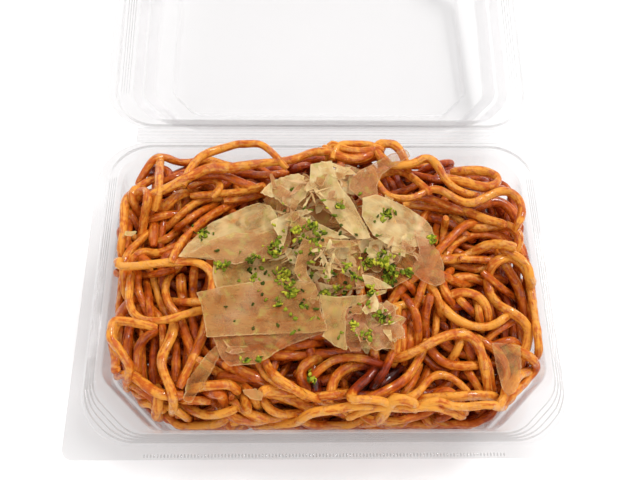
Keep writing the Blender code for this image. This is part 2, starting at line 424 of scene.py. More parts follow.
def shade(piece: bpy.types.Object, sharp_from: float = 180.0) -> None:
    """Shades a piece smooth, with its edges sharp from an angle in degrees."""
    piece.data.shade_smooth()
    if sharp_from < 180:
        piece.data.set_sharp_from_angle(angle=math.radians(sharp_from))


def thicken(piece: bpy.types.Object, thickness: float, offset: float) -> bpy.types.Object:
    """Gives an open sheet a wall.

    Args:
        piece: the sheet.
        thickness: the wall, in millimetres.
        offset: -1 puts it behind the faces, 0 on both sides of them.

    Returns:
        The same object with a closed mesh.
    """
    wall = piece.modifiers.new("wall", "SOLIDIFY")
    wall.thickness = thickness * MM
    wall.offset = offset
    wall.use_even_offset = offset != 0
    return applied(piece)


def tell(piece: bpy.types.Object) -> None:
    """Reports a finished piece."""
    log.info("%s: %d faces", piece.name, len(piece.data.polygons))


# ---------------------------------------------------------------------------------------------
# Finishes
# ---------------------------------------------------------------------------------------------


@dataclass(frozen=True)
class FilmFinish:
    """Clear pressed film: nearly nothing seen head on, a mirror at its folds."""

    name: str = "clear_film"
    tint: Colour = (0.896, 0.892, 0.890)
    body: Colour = (0.94, 0.93, 0.94)
    roughness: float = 0.04
    head_on: float = 0.045  # the share that doesn't pass straight through, seen head on
    mirror: float = 0.55  # how much of that share is a mirror and not haze
    rise: float = 3.0  # the power by which that share grows towards a grazing view
    ripple: float = 0.02  # how deep the film's faint waves are, in millimetres
    ripple_size: float = 9.0

    def material(self) -> bpy.types.Material:
        """Builds the material."""
        write = FinishWriter(self.name)
        facing = Channel(
            write, write.node("ShaderNodeLayerWeight", values={"Blend": 0.5}).outputs["Facing"]
        )
        share = self.head_on + (1 - self.head_on) * facing**self.rise
        skin = write.principled(
            Base_Color=self.body,
            Metallic=self.mirror,
            Roughness=self.roughness,
            Normal=write.bump(write.noise(self.ripple_size, 1.0), self.ripple),
        )
        clear = write.node("ShaderNodeBsdfTransparent", values={"Color": self.tint})
        mix = write.node("ShaderNodeMixShader", values={0: share, 1: clear.outputs[0], 2: skin.outputs[0]})
        return write.surface(mix)


@dataclass(frozen=True)
class NoodleFinish:
    """Fried wheat noodle: sauce soaked in unevenly, with a film of oil; its darker colours also carry
    painted shade.
    """

    name: str = "noodle"
    plain: Colour = srgb(230, 154, 54)
    sauced: Colour = srgb(194, 90, 8)
    # the soaked colour also serves as painted shade under the top strands
    soaked: Colour = srgb(144, 46, 2)
    hollow_shade_colour: Colour = srgb(64, 12, 2)  # painted shade, nearly black, for the dark hollows between strands
    tone_share: float = 0.75  # how much a strand's tone, painted shade included, counts in its depth of colour
    patch_share: float = 1.1  # and the large patches
    mottle_share: float = 0.8  # and the small ones
    streak_share: float = 1.3  # and the streaks along the strand
    lighter: float = 0.02
    roughness: float = 0.42
    oil: float = 0.9
    relief: float = 0.42  # how deep the skin's unevenness is, in millimetres

    def material(self) -> bpy.types.Material:
        """Builds the material."""
        write = FinishWriter(self.name)
        # the strand's tone, with the painted shade of its depth and of the dark hollows
        tone = write.attribute("tone")
        side = write.node("ShaderNodeAttribute", {"attribute_name": "side"}).outputs["Vector"]
        parts = write.node("ShaderNodeSeparateXYZ", values={0: side})
        run = write.node(
            "ShaderNodeCombineXYZ",
            values={0: write.attribute("along") * 0.16, 1: parts.outputs[0], 2: parts.outputs[1]},
        ).outputs[0]
        patches = write.noise(6, 3.0, 0.8)
        mottle = write.noise(1.5, 3.0, 0.4)
        streaks = write.noise(0.9, 3.0, 0.3, run)
        depth = tone * self.tone_share + (patches - 0.5) * self.patch_share
        depth = depth + (mottle - 0.5) * self.mottle_share + (streaks - 0.5) * self.streak_share
        depth = depth - self.lighter
        colour = write.blend(depth.step(0.0, 0.5), self.plain, self.sauced)
        colour = write.blend(depth.step(0.45, 1.0), colour, self.soaked)
        # painted shade: strands in the dark hollows turn nearly black
        colour = write.blend(depth.step(1.2, 1.9), colour, self.hollow_shade_colour)
        wet = write.noise(3.4, 3.0, 0.5).step(0.48, 0.6)
        skin = write.principled(
            Base_Color=colour,
            Roughness=self.roughness + 0.3 * (mottle - 0.5) - 0.12 * wet,
            Coat_Weight=self.oil * wet,
            Coat_Roughness=0.06,
            Specular_IOR_Level=0.25,
            Subsurface_Weight=0.08,
            Subsurface_Radius=(1.0, 0.4, 0.15),
            Subsurface_Scale=1.0 * MM,
            Normal=write.bump(streaks * 0.4 + write.noise(0.6, 2.0) * (0.3 + 0.9 * wet), self.relief),
        )
        return write.surface(skin)


@dataclass(frozen=True)
class PaintedShadeCoreFinish:
    """The dark inside of the heap, seen only through gaps: painted shade, standing in for the deep shadow
    between the strands.
    """

    name: str = "noodle_core_painted_shade"
    # painted shade: the colours of the deep shadow inside the heap
    deep: Colour = srgb(84, 30, 8)
    lit: Colour = srgb(150, 72, 24)

    def material(self) -> bpy.types.Material:
        """Builds the material."""
        write = FinishWriter(self.name)
        skin = write.principled(
            Base_Color=write.blend(write.noise(3).step(0.35, 0.7), self.deep, self.lit),
            Roughness=0.45,
            Normal=write.bump(write.noise(2), 0.8),
        )
        return write.surface(skin)


class ShavingTone(Enum):
    """The kinds of bonito shaving: (slot, light colour, dark colour, least and most cover)."""

    PALE = ("bonito_pale", srgb(242, 220, 158), srgb(222, 166, 90), 0.22, 0.62)
    TAN = ("bonito_tan", srgb(198, 148, 80), srgb(186, 112, 46), 0.26, 0.58)
    ROSE = ("bonito_tan", srgb(204, 146, 86), srgb(184, 104, 44), 0.20, 0.52)
    GAUZE = ("bonito_pale", srgb(212, 152, 78), srgb(184, 98, 34), 0.12, 0.36)
    OLIVE = ("bonito_pale", srgb(212, 178, 106), srgb(188, 132, 62), 0.28, 0.58)

    def __init__(self, slot: str, light: Colour, dark: Colour, least: float, most: float) -> None:
        """Names the fields of each member."""
        self.slot = slot
        self.light = light
        self.dark = dark
        self.least = least
        self.most = most


@dataclass(frozen=True)
class ShavingFinish:
    """Papery dried bonito, shaved along its grain."""

    tone: ShavingTone
    rust: Colour = srgb(196, 104, 44)  # the darker meat, in small patches
    dust: Colour = srgb(192, 184, 84)  # what the finest laver tints
    # painted highlight along the shavings' edges
    rim: Colour = srgb(238, 214, 160)

    def material(self) -> bpy.types.Material:
        """Builds the material."""
        write = FinishWriter(f"bonito_{self.tone.name.lower()}")
        grain_map = write.node("ShaderNodeUVMap", {"uv_map": "grain"}).outputs[0]
        fibre = write.noise(0.5, 3.0, 0.3, write.moved((0.12, 1.0, 1.0), grain_map))
        bands = write.noise(3.0, 2.0, 0.5, write.moved((0.4, 1.0, 1.0), grain_map))
        clouds = write.noise(7, 3.0, 0.5)
        spots = write.noise(3.4, 2.0, 0.4)
        edge = write.attribute("rim")
        dark = (bands * 0.7 + (1 - clouds) * 0.8 + fibre * 0.2 - 0.38).clamped()
        colour = write.blend(dark.step(0.15, 0.85), self.tone.light, self.tone.dark)
        colour = write.blend(clouds.step(0.56, 0.72) * 0.35, colour, self.rust)
        colour = write.blend(spots.step(0.54, 0.7) * 0.5, colour, self.dust)
        # painted highlight: paler, more covering edges along the outline, broken up by the bands
        rim_highlight = edge.step(0.4, 1.0) * bands.step(0.3, 0.7)
        colour = write.blend(rim_highlight * 0.5, colour, self.rim)
        cover = clouds.step(0.3, 0.7) * 0.8 + fibre.step(0.3, 0.7) * 0.2
        alpha = self.tone.least + (self.tone.most - self.tone.least) * cover
        skin = write.principled(
            Base_Color=colour,
            Roughness=0.42,
            Specular_IOR_Level=0.4,
            Subsurface_Weight=0.15,
            Subsurface_Radius=(1.0, 0.75, 0.5),
            Subsurface_Scale=0.8 * MM,
            Alpha=(alpha + rim_highlight * 0.3).clamped(),
            Normal=write.bump(fibre, 0.06),
        )
        return write.surface(skin)


@dataclass(frozen=True)
class LaverFinish:
    """Crumbled green laver, from bright to nearly black."""

    name: str = "green_laver"
    bright: Colour = srgb(196, 190, 56)
    green: Colour = srgb(126, 140, 28)
    dark: Colour = srgb(58, 68, 8)

    def material(self) -> bpy.types.Material:
        """Builds the material."""
        write = FinishWriter(self.name)
        tone = write.attribute("tone")
        colour = write.blend(tone.step(0.0, 0.5), self.dark, self.green)
        colour = write.blend(tone.step(0.5, 1.0), colour, self.bright)
        skin = write.principled(
            Base_Color=colour,
            Roughness=0.7,
            Specular_IOR_Level=0.15,
            Normal=write.bump(write.noise(0.4), 0.1),
        )
        return write.surface(skin)


@dataclass(frozen=True)
class FloorFinish:
    """A smooth white table, lit from within."""

    name: str = "white_table"
    colour: Colour = (0.93, 0.93, 0.935)
    glow: float = 0.22

    def material(self) -> bpy.types.Material:
        """Builds the material."""
        write = FinishWriter(self.name)
        skin = write.principled(
            Base_Color=self.colour,
            Roughness=0.9,
            Emission_Color=self.colour,
            Emission_Strength=self.glow,
        )
        return write.surface(skin)


# ---------------------------------------------------------------------------------------------
# The pressed pack
# ---------------------------------------------------------------------------------------------


@dataclass(frozen=True)
class Row:
    """One ring of a pressed sheet.

    Its inset from the rim's outline, its height above the rim, the (cut, radius) of its corners on
    the front side and on the hinge side, how much nearer the outline it runs by the hinge, and the
    height of a fine raised line on it, which fades towards the hinge.
    """

    inset: float
    height: float
    front: tuple[float, float]
    back: tuple[float, float]
    shift: float
    line: float = 0.0

    def numbers(self) -> Array:
        """The row as eight numbers."""
        return np.array([self.inset, self.height, *self.front, *self.back, self.shift, self.line])

    @staticmethod
    def of(numbers: Array) -> Row:
        """The row with these eight numbers."""
        inset, height, cut, radius, back_cut, back_radius, shift, line = map(float, numbers)
        return Row(inset, height, (cut, radius), (back_cut, back_radius), shift, line)

    def points(self) -> Array:
        """The ring's points, with their heights above the rim."""
        ring = outline(self)
        fade = 1 - smooth_step(0.0, PACK.line_fade * PACK.depth, ring[:, 1])
        return np.c_[ring, self.height + self.line * fade]


LINE_ONLY = Row(0, 0, (0, 0), (0, 0), 0, 1).numbers()
ROUND = 1.707  # a corner whose radius is this many times its cut is one plain arc


def arc_corner(radius: float) -> tuple[float, float]:
    """The (cut, radius) of a corner that is one plain arc."""
    return radius / ROUND, radius


BEVELLED = (19.5, 9.0)
FOOT_CORNER = (18.5, 9.0)
PANEL_CORNER = (7.5, 4.0)
CORE_CORNER = (14.0, 8.0)

TRAY_ROWS = (
    Row(0, 0, arc_corner(4), arc_corner(20), 0),
    Row(4.2, 0, arc_corner(20), arc_corner(18), 2.1),
    Row(4.9, 1.8, arc_corner(19), arc_corner(17), 2.5),
    Row(8.8, 1.8, (16, 12), arc_corner(14), 4.4),
    Row(10.4, -0.4, BEVELLED, (9, 12), 4.4),
    Row(12.0, -11.0, BEVELLED, (13, 9), 4.4),
    Row(13.0, -11.8, BEVELLED, (14, 9), 4.4),
    Row(15.4, -23.0, (19, 9), (17, 9), 1.6),
    Row(16.8, -24.4, FOOT_CORNER, FOOT_CORNER, 1.2),
    Row(22.8, -25.2, (12, 6), (12, 6), 0.4),
    Row(24.4, -27.6, (9, 5), (9, 5), 0),
    Row(25.6, -28.5, PANEL_CORNER, PANEL_CORNER, 0),
)

LID_ROWS = (
    Row(0, 0, arc_corner(4), arc_corner(20), 0),
    Row(3.7, 0, arc_corner(20), arc_corner(18), 1.9),
    Row(4.3, -2.4, arc_corner(19), arc_corner(17), 2.2),
    Row(9.6, -2.4, (17, 11), arc_corner(13), 4.4),
    Row(10.5, -3.4, BEVELLED, (9, 12), 4.4),
    Row(12.3, -12.0, BEVELLED, (13, 9), 4.4),
    Row(13.2, -12.8, BEVELLED, (14, 9), 4.4),
    Row(15.4, -25.6, (19, 9), (17, 9), 1.6),
    Row(16.8, -27.0, FOOT_CORNER, FOOT_CORNER, 1.2),
    Row(22.8, -27.8, (12, 6), (12, 6), 0.4),
    Row(24.4, -30.6, (9, 5), (9, 5), 0),
    Row(25.6, -31.5, PANEL_CORNER, PANEL_CORNER, 0),
)


@dataclass(frozen=True)
class PackSizes:
    """The sizes that both halves of the pack share."""

    width: float = 180.0
    depth: float = 130.0
    tray_height: float = 29.0
    film: float = 0.5
    hinge_reach: float = 3.5
    shut_gap: float = 0.4
    lid_slope: float = 5.633  # degrees that the open lid slopes up from the hinge
    fillet: float = 0.5
    flange_lines: int = 4
    line_height: float = 0.4
    line_share: float = 0.16  # half a raised line's width, as a share of the lines' spacing
    line_fade: float = 0.4  # how far behind the middle the lines have faded, as a share of the depth
    fillet_steps: int = 4
    most_fillet: float = 0.45  # the most of a narrow face that one fold's rounding takes
    arc_steps: int = 9

    @property
    def hinge(self) -> tuple[float, float]:
        """The hinge axis, as (y, z)."""
        return self.depth / 2 + self.hinge_reach, self.tray_height + self.shut_gap / 2

    def lid_place(self) -> Matrix:
        """Where the lid lies: pressed like the tray, turned half round, then laid back."""
        y, z = (length * MM for length in self.hinge)
        return (
            Matrix.Translation((0, y, z))
            @ Matrix.Rotation(math.radians(self.lid_slope), 4, "X")
            @ Matrix.Translation((0, y, -self.shut_gap / 2 * MM))
            @ Matrix.Rotation(math.pi, 4, "Z")
        )


PACK = PackSizes()


def corner(point: Array, along: Array, across: Array, cut: float, radius: float) -> list[Array]:
    """Rounds and bevels a sharp corner.

    Args:
        point: the sharp corner.
        along: the direction of travel up to it.
        across: the direction of travel after it.
        cut: how much of each side the straight bevel takes.
        radius: the radius of the bend at each end of the bevel.

    Returns:
        The points of both bends, in the order of travel.
    """
    reach = radius * math.tan(math.pi / 8)
    first = point - along * (cut + reach) + across * radius
    second = point + across * (cut + reach) - along * radius
    bends = []
    for centre, start in ((first, 0.0), (second, math.pi / 4)):
        for turn in np.linspace(start, start + math.pi / 4, PACK.arc_steps + 1):
            bends.append(centre + radius * (along * math.sin(turn) - across * math.cos(turn)))
    return bends


def outline(row: Row) -> Array:
    """The row's ring of points, counter-clockwise from the front right corner."""
    right, rear = np.array([1.0, 0.0]), np.array([0.0, 1.0])
    x = PACK.width / 2 - row.inset
    front_y = -PACK.depth / 2 + row.inset
    back_y = PACK.depth / 2 - (row.inset - row.shift)
    ring = [
        *corner(np.array([x, front_y]), right, rear, *row.front),
        *corner(np.array([x, back_y]), rear, -right, *row.back),
        *corner(np.array([-x, back_y]), -right, -rear, *row.back),
        *corner(np.array([-x, front_y]), -rear, right, *row.front),
    ]
    return np.array(ring)


def filleted(rows: Sequence[Row], reach: float, steps: int) -> list[Row]:
    """Rounds the folds between a pressed sheet's faces.

    Args:
        rows: the sheet's sharp rings.
        reach: how far from a fold its rounding begins.
        steps: how many faces the rounding has.

    Returns:
        The rings of the rounded sheet.
    """
    sharp = [row.numbers() for row in rows]
    made = [sharp[0]]
    for before, fold, after in zip(sharp, sharp[1:], sharp[2:]):
        spans = [math.hypot(*(side[:2] - fold[:2])) for side in (before, after)]
        entry, leave = (min(reach / span, PACK.most_fillet) for span in spans)
        start, end = fold + (before - fold) * entry, fold + (after - fold) * leave
        for share in np.linspace(0, 1, steps + 1):
            made.append((1 - share) ** 2 * start + 2 * share * (1 - share) * fold + share**2 * end)
    made.append(sharp[-1])
    return [Row.of(numbers) for numbers in made]


def beaded(rows: Sequence[Row], first: int, count: int, height: float) -> list[Row]:
    """Adds fine raised lines to the flat band between two rings.

    Args:
        rows: the sheet's sharp rings.
        first: the number of the ring where the band starts.
        count: how many lines the band gets.
        height: how far they stand up.

    Returns:
        The rings with those of the lines between them.
    """
    start, end = rows[first].numbers(), rows[first + 1].numbers()
    made = list(rows[: first + 1])
    for line in range(count):
        for step, up in ((-PACK.line_share, 0.0), (0.0, height), (PACK.line_share, 0.0)):
            share = (line + 1) / (count + 1) + step / count
            made.append(Row.of(start + (end - start) * share + LINE_ONLY * up))
    return [*made, *rows[first + 1 :]]


def bridged(rings: int, around: int, closed: bool = True) -> list[tuple[int, int, int, int]]:
    """The quads between rings of points that are numbered ring after ring."""
    faces = []
    for ring in range(rings - 1):
        for i in range(around if closed else around - 1):
            j = (i + 1) % around
            low, high = ring * around, (ring + 1) * around
            faces.append((low + i, low + j, high + j, high + i))
    return faces


@dataclass
class PressedHalf:
    """A thermoformed half of the pack, food side up."""

    name: str
    node: str
    body: str
    rows: Sequence[Row]
    place: Matrix
    flange: int = 2  # the number of the row where its flat flange starts
    sharp_from: float = 35.0

    def build(self, skin: bpy.types.Material) -> None:
        """Makes the half.

        Args:
            skin: the film's material.
        """
        rows = beaded(self.rows, self.flange, PACK.flange_lines, PACK.line_height)
        rows = filleted(rows, PACK.fillet, PACK.fillet_steps)
        rings = [row.points() for row in rows]
        points = np.vstack(rings)
        around = len(rings[0])
        faces: list[tuple[int, ...]] = list(bridged(len(rings), around))
        faces.append(tuple(range(len(points) - around, len(points))))
        piece = new_piece(self.name, points, faces, skin=skin)
        thicken(piece, PACK.film, -1)
        piece.data.transform(self.place)
        shade(piece, self.sharp_from)
        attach(piece, self.body)
        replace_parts(piece, self.node)
        tell(piece)


@dataclass
class RimRibs:
    """The row of tiny raised ribs along the rim's front edge."""

    pitch: float = 1.15
    reach: float = 62.0  # how far the row runs to each side
    inset: float = 1.3
    radius: float = 0.34
    stretch: tuple[float, float, float] = (0.9, 1.9, 0.4)

    def recipe(self, skin: bpy.types.Material) -> ShapeRecipe:
        """The Geometry Nodes tree that puts a rib on every point."""
        write = ShapeRecipe("rim_ribs")
        radius = write.size("Rib Radius")
        ball = write.node("GeometryNodeMeshIcoSphere", values={"Radius": radius, "Subdivisions": 2})
        put = write.node(
            "GeometryNodeInstanceOnPoints",
            values={"Points": write.geometry, "Instance": ball.outputs["Mesh"], "Scale": self.stretch},
        )
        write.close(put.outputs[0], skin)
        return write

    def build(self, skin: bpy.types.Material) -> None:
        """Makes the row."""
        y, z = self.inset - PACK.depth / 2, PACK.tray_height
        points = [(x, y, z) for x in np.arange(-self.reach, self.reach, self.pitch)]
        piece = self.recipe(skin).grow(new_piece("rim_ribs", points), {"Rib Radius": self.radius * MM})
        shade(piece)
        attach(piece, "base")
        tell(piece)


@dataclass
class HingeStrip:
    """The strip of film between the halves, with the fine grooves that it folds along."""

    length: float = 152.0
    grooves: tuple[float, ...] = (-2.1, -0.7, 0.7, 2.1)
    groove_width: float = 0.7
    groove_depth: float = 0.35
    soft_part: float = 1.3  # how far from the axis the strip still bends
    sharp_from: float = 20.0

    def profile(self) -> Array:
        """Its upper face from the tray's rim to the lid's, as (y, z)."""
        hinge_y, hinge_z = PACK.hinge
        drop = PACK.shut_gap / 2
        slope = math.radians(PACK.lid_slope)
        away = [-PACK.hinge_reach]
        for groove in self.grooves:
            away += [groove - self.groove_width / 2, groove, groove + self.groove_width / 2]
        away.append(PACK.hinge_reach)
        points = []
        for reach in away:
            down = drop + (self.groove_depth if reach in self.grooves else 0)
            tilt = slope if reach > 0 else 0.0
            y = reach * math.cos(tilt) + down * math.sin(tilt)
            z = reach * math.sin(tilt) - down * math.cos(tilt)
            points.append((hinge_y + y, hinge_z + z))
        return np.array(points)

    def build(self, skin: bpy.types.Material) -> None:
        """Makes the strip and lets it bend from the tray to the lid."""
        ends = (-self.length / 2, self.length / 2)
        points = [(x, y, z) for y, z in self.profile() for x in ends]
        piece = new_piece("hinge_strip", points, bridged(len(points) // 2, 2, closed=False), skin=skin)
        thicken(piece, PACK.film, -1)
        shade(piece, self.sharp_from)
        y, z = (length * MM for length in PACK.hinge)
        soft = self.soft_part * MM
        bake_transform(piece, "base", "lid", start=(0, y - soft, z), end=(0, y + soft, z))
        tell(piece)


# ---------------------------------------------------------------------------------------------
# What lies in the pack, seen from above
# ---------------------------------------------------------------------------------------------


def smooth_step(low: float, high: float, value: Any) -> Any:
    """Rises smoothly from 0 at low to 1 at high."""
    share = np.clip((value - low) / (high - low), 0, 1)
    return share * share * (3 - 2 * share)


@dataclass(frozen=True)
class HeapForm:
    """The heap of noodles as a whole."""

    top: float = 41.5
    front_edge: float = 29.5
    back_edge: float = 41.0
    edge_span: tuple[float, float] = (-50.0, 45.0)  # where along y the edge rises to the back
    half_width: float = 79.0
    half_depth: float = 56.0
    middle_y: float = 2.0
    squareness: int = 4  # 2 would make it an ellipse from above
    slope: float = 0.8

    def face(self, x: Array, y: Array) -> Array:
        """The mean height of its upper face."""
        edge = self.front_edge + (self.back_edge - self.front_edge) * smooth_step(*self.edge_span, y)
        power = self.squareness
        across, along = x / self.half_width, (y - self.middle_y) / self.half_depth
        spread = (across**power + along**power) ** (1 / power)
        return edge + (self.top - edge) * np.maximum(1 - spread * spread, 0) ** self.slope


@dataclass(frozen=True)
class Cavity:
    """The space inside the pack's walls, the tray's below and the shut lid's above."""

    floor_at: tuple[tuple[float, float], ...] = (
        (10.0, 4.6),
        (16.8, 4.6),
        (22.8, 3.8),
        (24.4, 1.4),
        (25.6, 0.5),
    )
    back_slack: float = 3.0  # how much further out the outline counts at the back
    wall_rows: tuple[int, int] = (4, 9)  # the rows of each half that make its walls

    def walls(self, z: Array) -> tuple[Array, Array, Array, Array, Array]:
        """The walls at a height.

        Args:
            z: the heights above the table.

        Returns:
            The half width, the front and the back wall's y, and the front and back corners' cuts.
        """
        lid_rim = PACK.tray_height + PACK.shut_gap
        used = slice(*self.wall_rows)
        tray = [(PACK.tray_height + row.height, row) for row in TRAY_ROWS[used]]
        lid = [(lid_rim - row.height, row) for row in LID_ROWS[used]]
        levels = sorted(tray + lid, key=lambda level: level[0])
        heights = [height for height, _ in levels]
        columns = zip(*((row.inset, row.front[0], row.back[0], row.shift) for _, row in levels))
        inset, front, back, shift = (np.interp(z, heights, column) for column in columns)
        return (
            PACK.width / 2 - inset,
            -PACK.depth / 2 + inset,
            PACK.depth / 2 - inset + shift,
            front,
            back,
        )

    def floor(self, x: Array, y: Array) -> Array:
        """The height of the tray's floor."""
        return np.interp(self.inset(x, y), *zip(*self.floor_at))

    def from_sides(self, x: Array, y: Array) -> Array:
        """How far inside the nearer side, the front and the back a place is, in this order."""
        half_width, half_depth = PACK.width / 2, PACK.depth / 2
        return np.stack([half_width - np.abs(x), y + half_depth, half_depth - y + self.back_slack])

    def inset(self, x: Array, y: Array) -> Array:
        """How far inside the pack's outline a place is."""
        return np.min(self.from_sides(x, y), 0)

    def confine(self, points: Array, clear: float) -> None:
        """Moves points inwards until they are clear of the walls, in place."""
        half, front, back, front_cut, back_cut = self.walls(points[:, 2])
        half, front, back = half - clear, front + clear, back - clear
        points[:, 0] = np.clip(points[:, 0], -half, half)
        points[:, 1] = np.clip(points[:, 1], front, back)
        for end, inward, cut in ((front, 1, front_cut), (back, -1, back_cut)):
            room = half - np.abs(points[:, 0]) + (points[:, 1] - end) * inward
            over = np.maximum(cut - room, 0) / 2
            points[:, 0] -= np.sign(points[:, 0]) * over
            points[:, 1] += inward * over

    def inside(self, x: Array, y: Array, z: float, clear: float) -> Array:
        """Whether places at a height are clear of the walls."""
        half, front, back, front_cut, back_cut = self.walls(np.full(x.shape, z))
        side = half - clear - np.abs(x)
        to_front, to_back = y - front - clear, back - clear - y
        square = (side > 0) & (to_front > 0) & (to_back > 0)
        return square & (side + to_front > front_cut) & (side + to_back > back_cut)


class HeightField:
    """The height of what lies in the pack, on a square grid."""

    corner: Place = (-84.0, -60.0)
    sides: Place = (168.0, 126.0)

    def __init__(self, cell: float, start: Callable[[Array, Array], Array]) -> None:
        """Makes the grid.

        Args:
            cell: the side of a grid square.
            start: the height of the bare ground at each place.
        """
        self.cell = cell
        self.low = np.array(self.corner)
        self.count = np.array([int(side / cell) for side in self.sides])
        xs = self.low[0] + cell * np.arange(self.count[0])
        ys = self.low[1] + cell * np.arange(self.count[1])
        self.x, self.y = np.meshgrid(xs, ys, indexing="ij")
        self.height = start(self.x, self.y)

    def cells(self, places: Array) -> tuple[Array, Array]:
        """The grid squares that places fall in."""
        at = np.rint((places[..., :2] - self.low) / self.cell).astype(int)
        at = np.clip(at, 0, self.count - 1)
        return at[..., 0], at[..., 1]

    def ball(self, radius: float) -> tuple[Array, Array]:
        """A ball seen from above.

        Args:
            radius: its radius.

        Returns:
            The grid squares that it covers, as offsets in x and y, and its height on each.
        """
        reach = int(radius / self.cell)
        span = np.arange(-reach, reach + 1)
        i, j = (grid.ravel() for grid in np.meshgrid(span, span, indexing="ij"))
        away = (i * i + j * j) * self.cell**2
        under = away < radius**2
        return np.stack([i[under], j[under]], 1) * self.cell, np.sqrt(radius**2 - away[under])

    def rest(self, path: Array, radius: float, bends: int = 40, sag: float = 0.02) -> Array:
        """How high a strand lies on what is below it.

        Args:
            path: its points from above.
            radius: half its thickness.
            bends: how stiffly it spans the gaps.
            sag: how far it hangs down in them at each step.

        Returns:
            The height of its middle at each point.
        """
        offsets, rises = self.ball(radius)
        least = (self.height[self.cells(path[:, None, :] + offsets)] + rises).max(1)
        z = least.copy()
        for _ in range(bends):
            z[1:-1] = 0.5 * (z[:-2] + z[2:]) - sag
            z = np.maximum(z, least)
        return z

    def stamp(self, points: Array, radius: float) -> None:
        """Adds balls to the field at points in space."""
        offsets, rises = self.ball(radius)
        tops = points[:, 2:3] + rises
        i, j = self.cells(points[:, None, :2] + offsets)
        np.maximum.at(self.height, (i.ravel(), j.ravel()), tops.ravel())


def blurred(grid: Array, times: int) -> Array:
    """A grid with each square averaged with its neighbours."""
    for _ in range(times):
        wide = np.pad(grid, 1, mode="edge")
        sides = wide[:-2, 1:-1] + wide[2:, 1:-1] + wide[1:-1, :-2] + wide[1:-1, 2:]
        grid = (sides + grid) / 5
    return grid


SPAN_STEPS = 12  # how finely the curve between two points of a path is worked out


def smooth_path(path: Array, spacing: float) -> Array:
    """Points at even spacing along the smooth curve through a path."""
    knots = np.vstack([2 * path[0] - path[1], path, 2 * path[-1] - path[-2]])
    share = np.linspace(0, 1, SPAN_STEPS, endpoint=False)[:, None]
    parts = []
    for a, b, c, d in zip(knots, knots[1:], knots[2:], knots[3:]):
        parts.append(
            0.5
            * (
                2 * b
                + (c - a) * share
                + (2 * a - 5 * b + 4 * c - d) * share**2
                + (3 * b - a - 3 * c + d) * share**3
            )
        )
    fine = np.vstack([*parts, path[-1:]])
    along = np.r_[0, np.cumsum(np.linalg.norm(np.diff(fine, axis=0), axis=1))]
    stops = np.linspace(0, along[-1], max(2, round(along[-1] / spacing) + 1))
    return np.stack([np.interp(stops, along, fine[:, k]) for k in range(fine.shape[1])], 1)


# ---------------------------------------------------------------------------------------------
# The eye
# ---------------------------------------------------------------------------------------------


@dataclass(frozen=True)
class MainView:
    """Where the pack is looked at from."""

    place: tuple[float, float, float] = (-9.41, -138.68, 325.27)
    down: float = 61.848  # degrees below the horizon
    turn: float = 2.946  # degrees to the right of +Y
    roll: float = 2.636  # degrees clockwise
    lens: float = 48.89

    def lifted(self, flat: Array, level: float | Array, z: float | Array) -> Array:
        """Moves places along the lines of sight.

        Args:
            flat: places as they look on level planes.
            level: the height of those planes.
            z: the height of each place.

        Returns:
            The places at their heights, which look the same from here.
        """
        eye = np.array(self.place)
        share = ((z - level) / (eye[2] - level))[:, None]
        return flat + (eye[:2] - flat) * share

    def camera(self) -> None:
        """Adds the camera and makes it the scene's own."""
        down, turn, roll = (math.radians(angle) for angle in (self.down, self.turn, self.roll))
        ahead = Vector(
            (math.sin(turn) * math.cos(down), math.cos(turn) * math.cos(down), -math.sin(down))
        )
        right = Vector((math.cos(turn), -math.sin(turn), 0))
        above = right.cross(ahead)
        side = math.cos(roll) * right + math.sin(roll) * above
        top = math.cos(roll) * above - math.sin(roll) * right
        data = bpy.data.cameras.new("main_view")
        data.lens = self.lens
        data.clip_start = 0.01
        camera = in_scene("main_view", data)
        turned = Matrix((side, top, -ahead)).transposed().to_4x4()
        camera.matrix_world = Matrix.Translation(Vector(self.place) * MM) @ turned
        bpy.context.scene.camera = camera


VIEW = MainView()


# ---------------------------------------------------------------------------------------------
# Noodles
# ---------------------------------------------------------------------------------------------

READ_LEVEL = 32.0

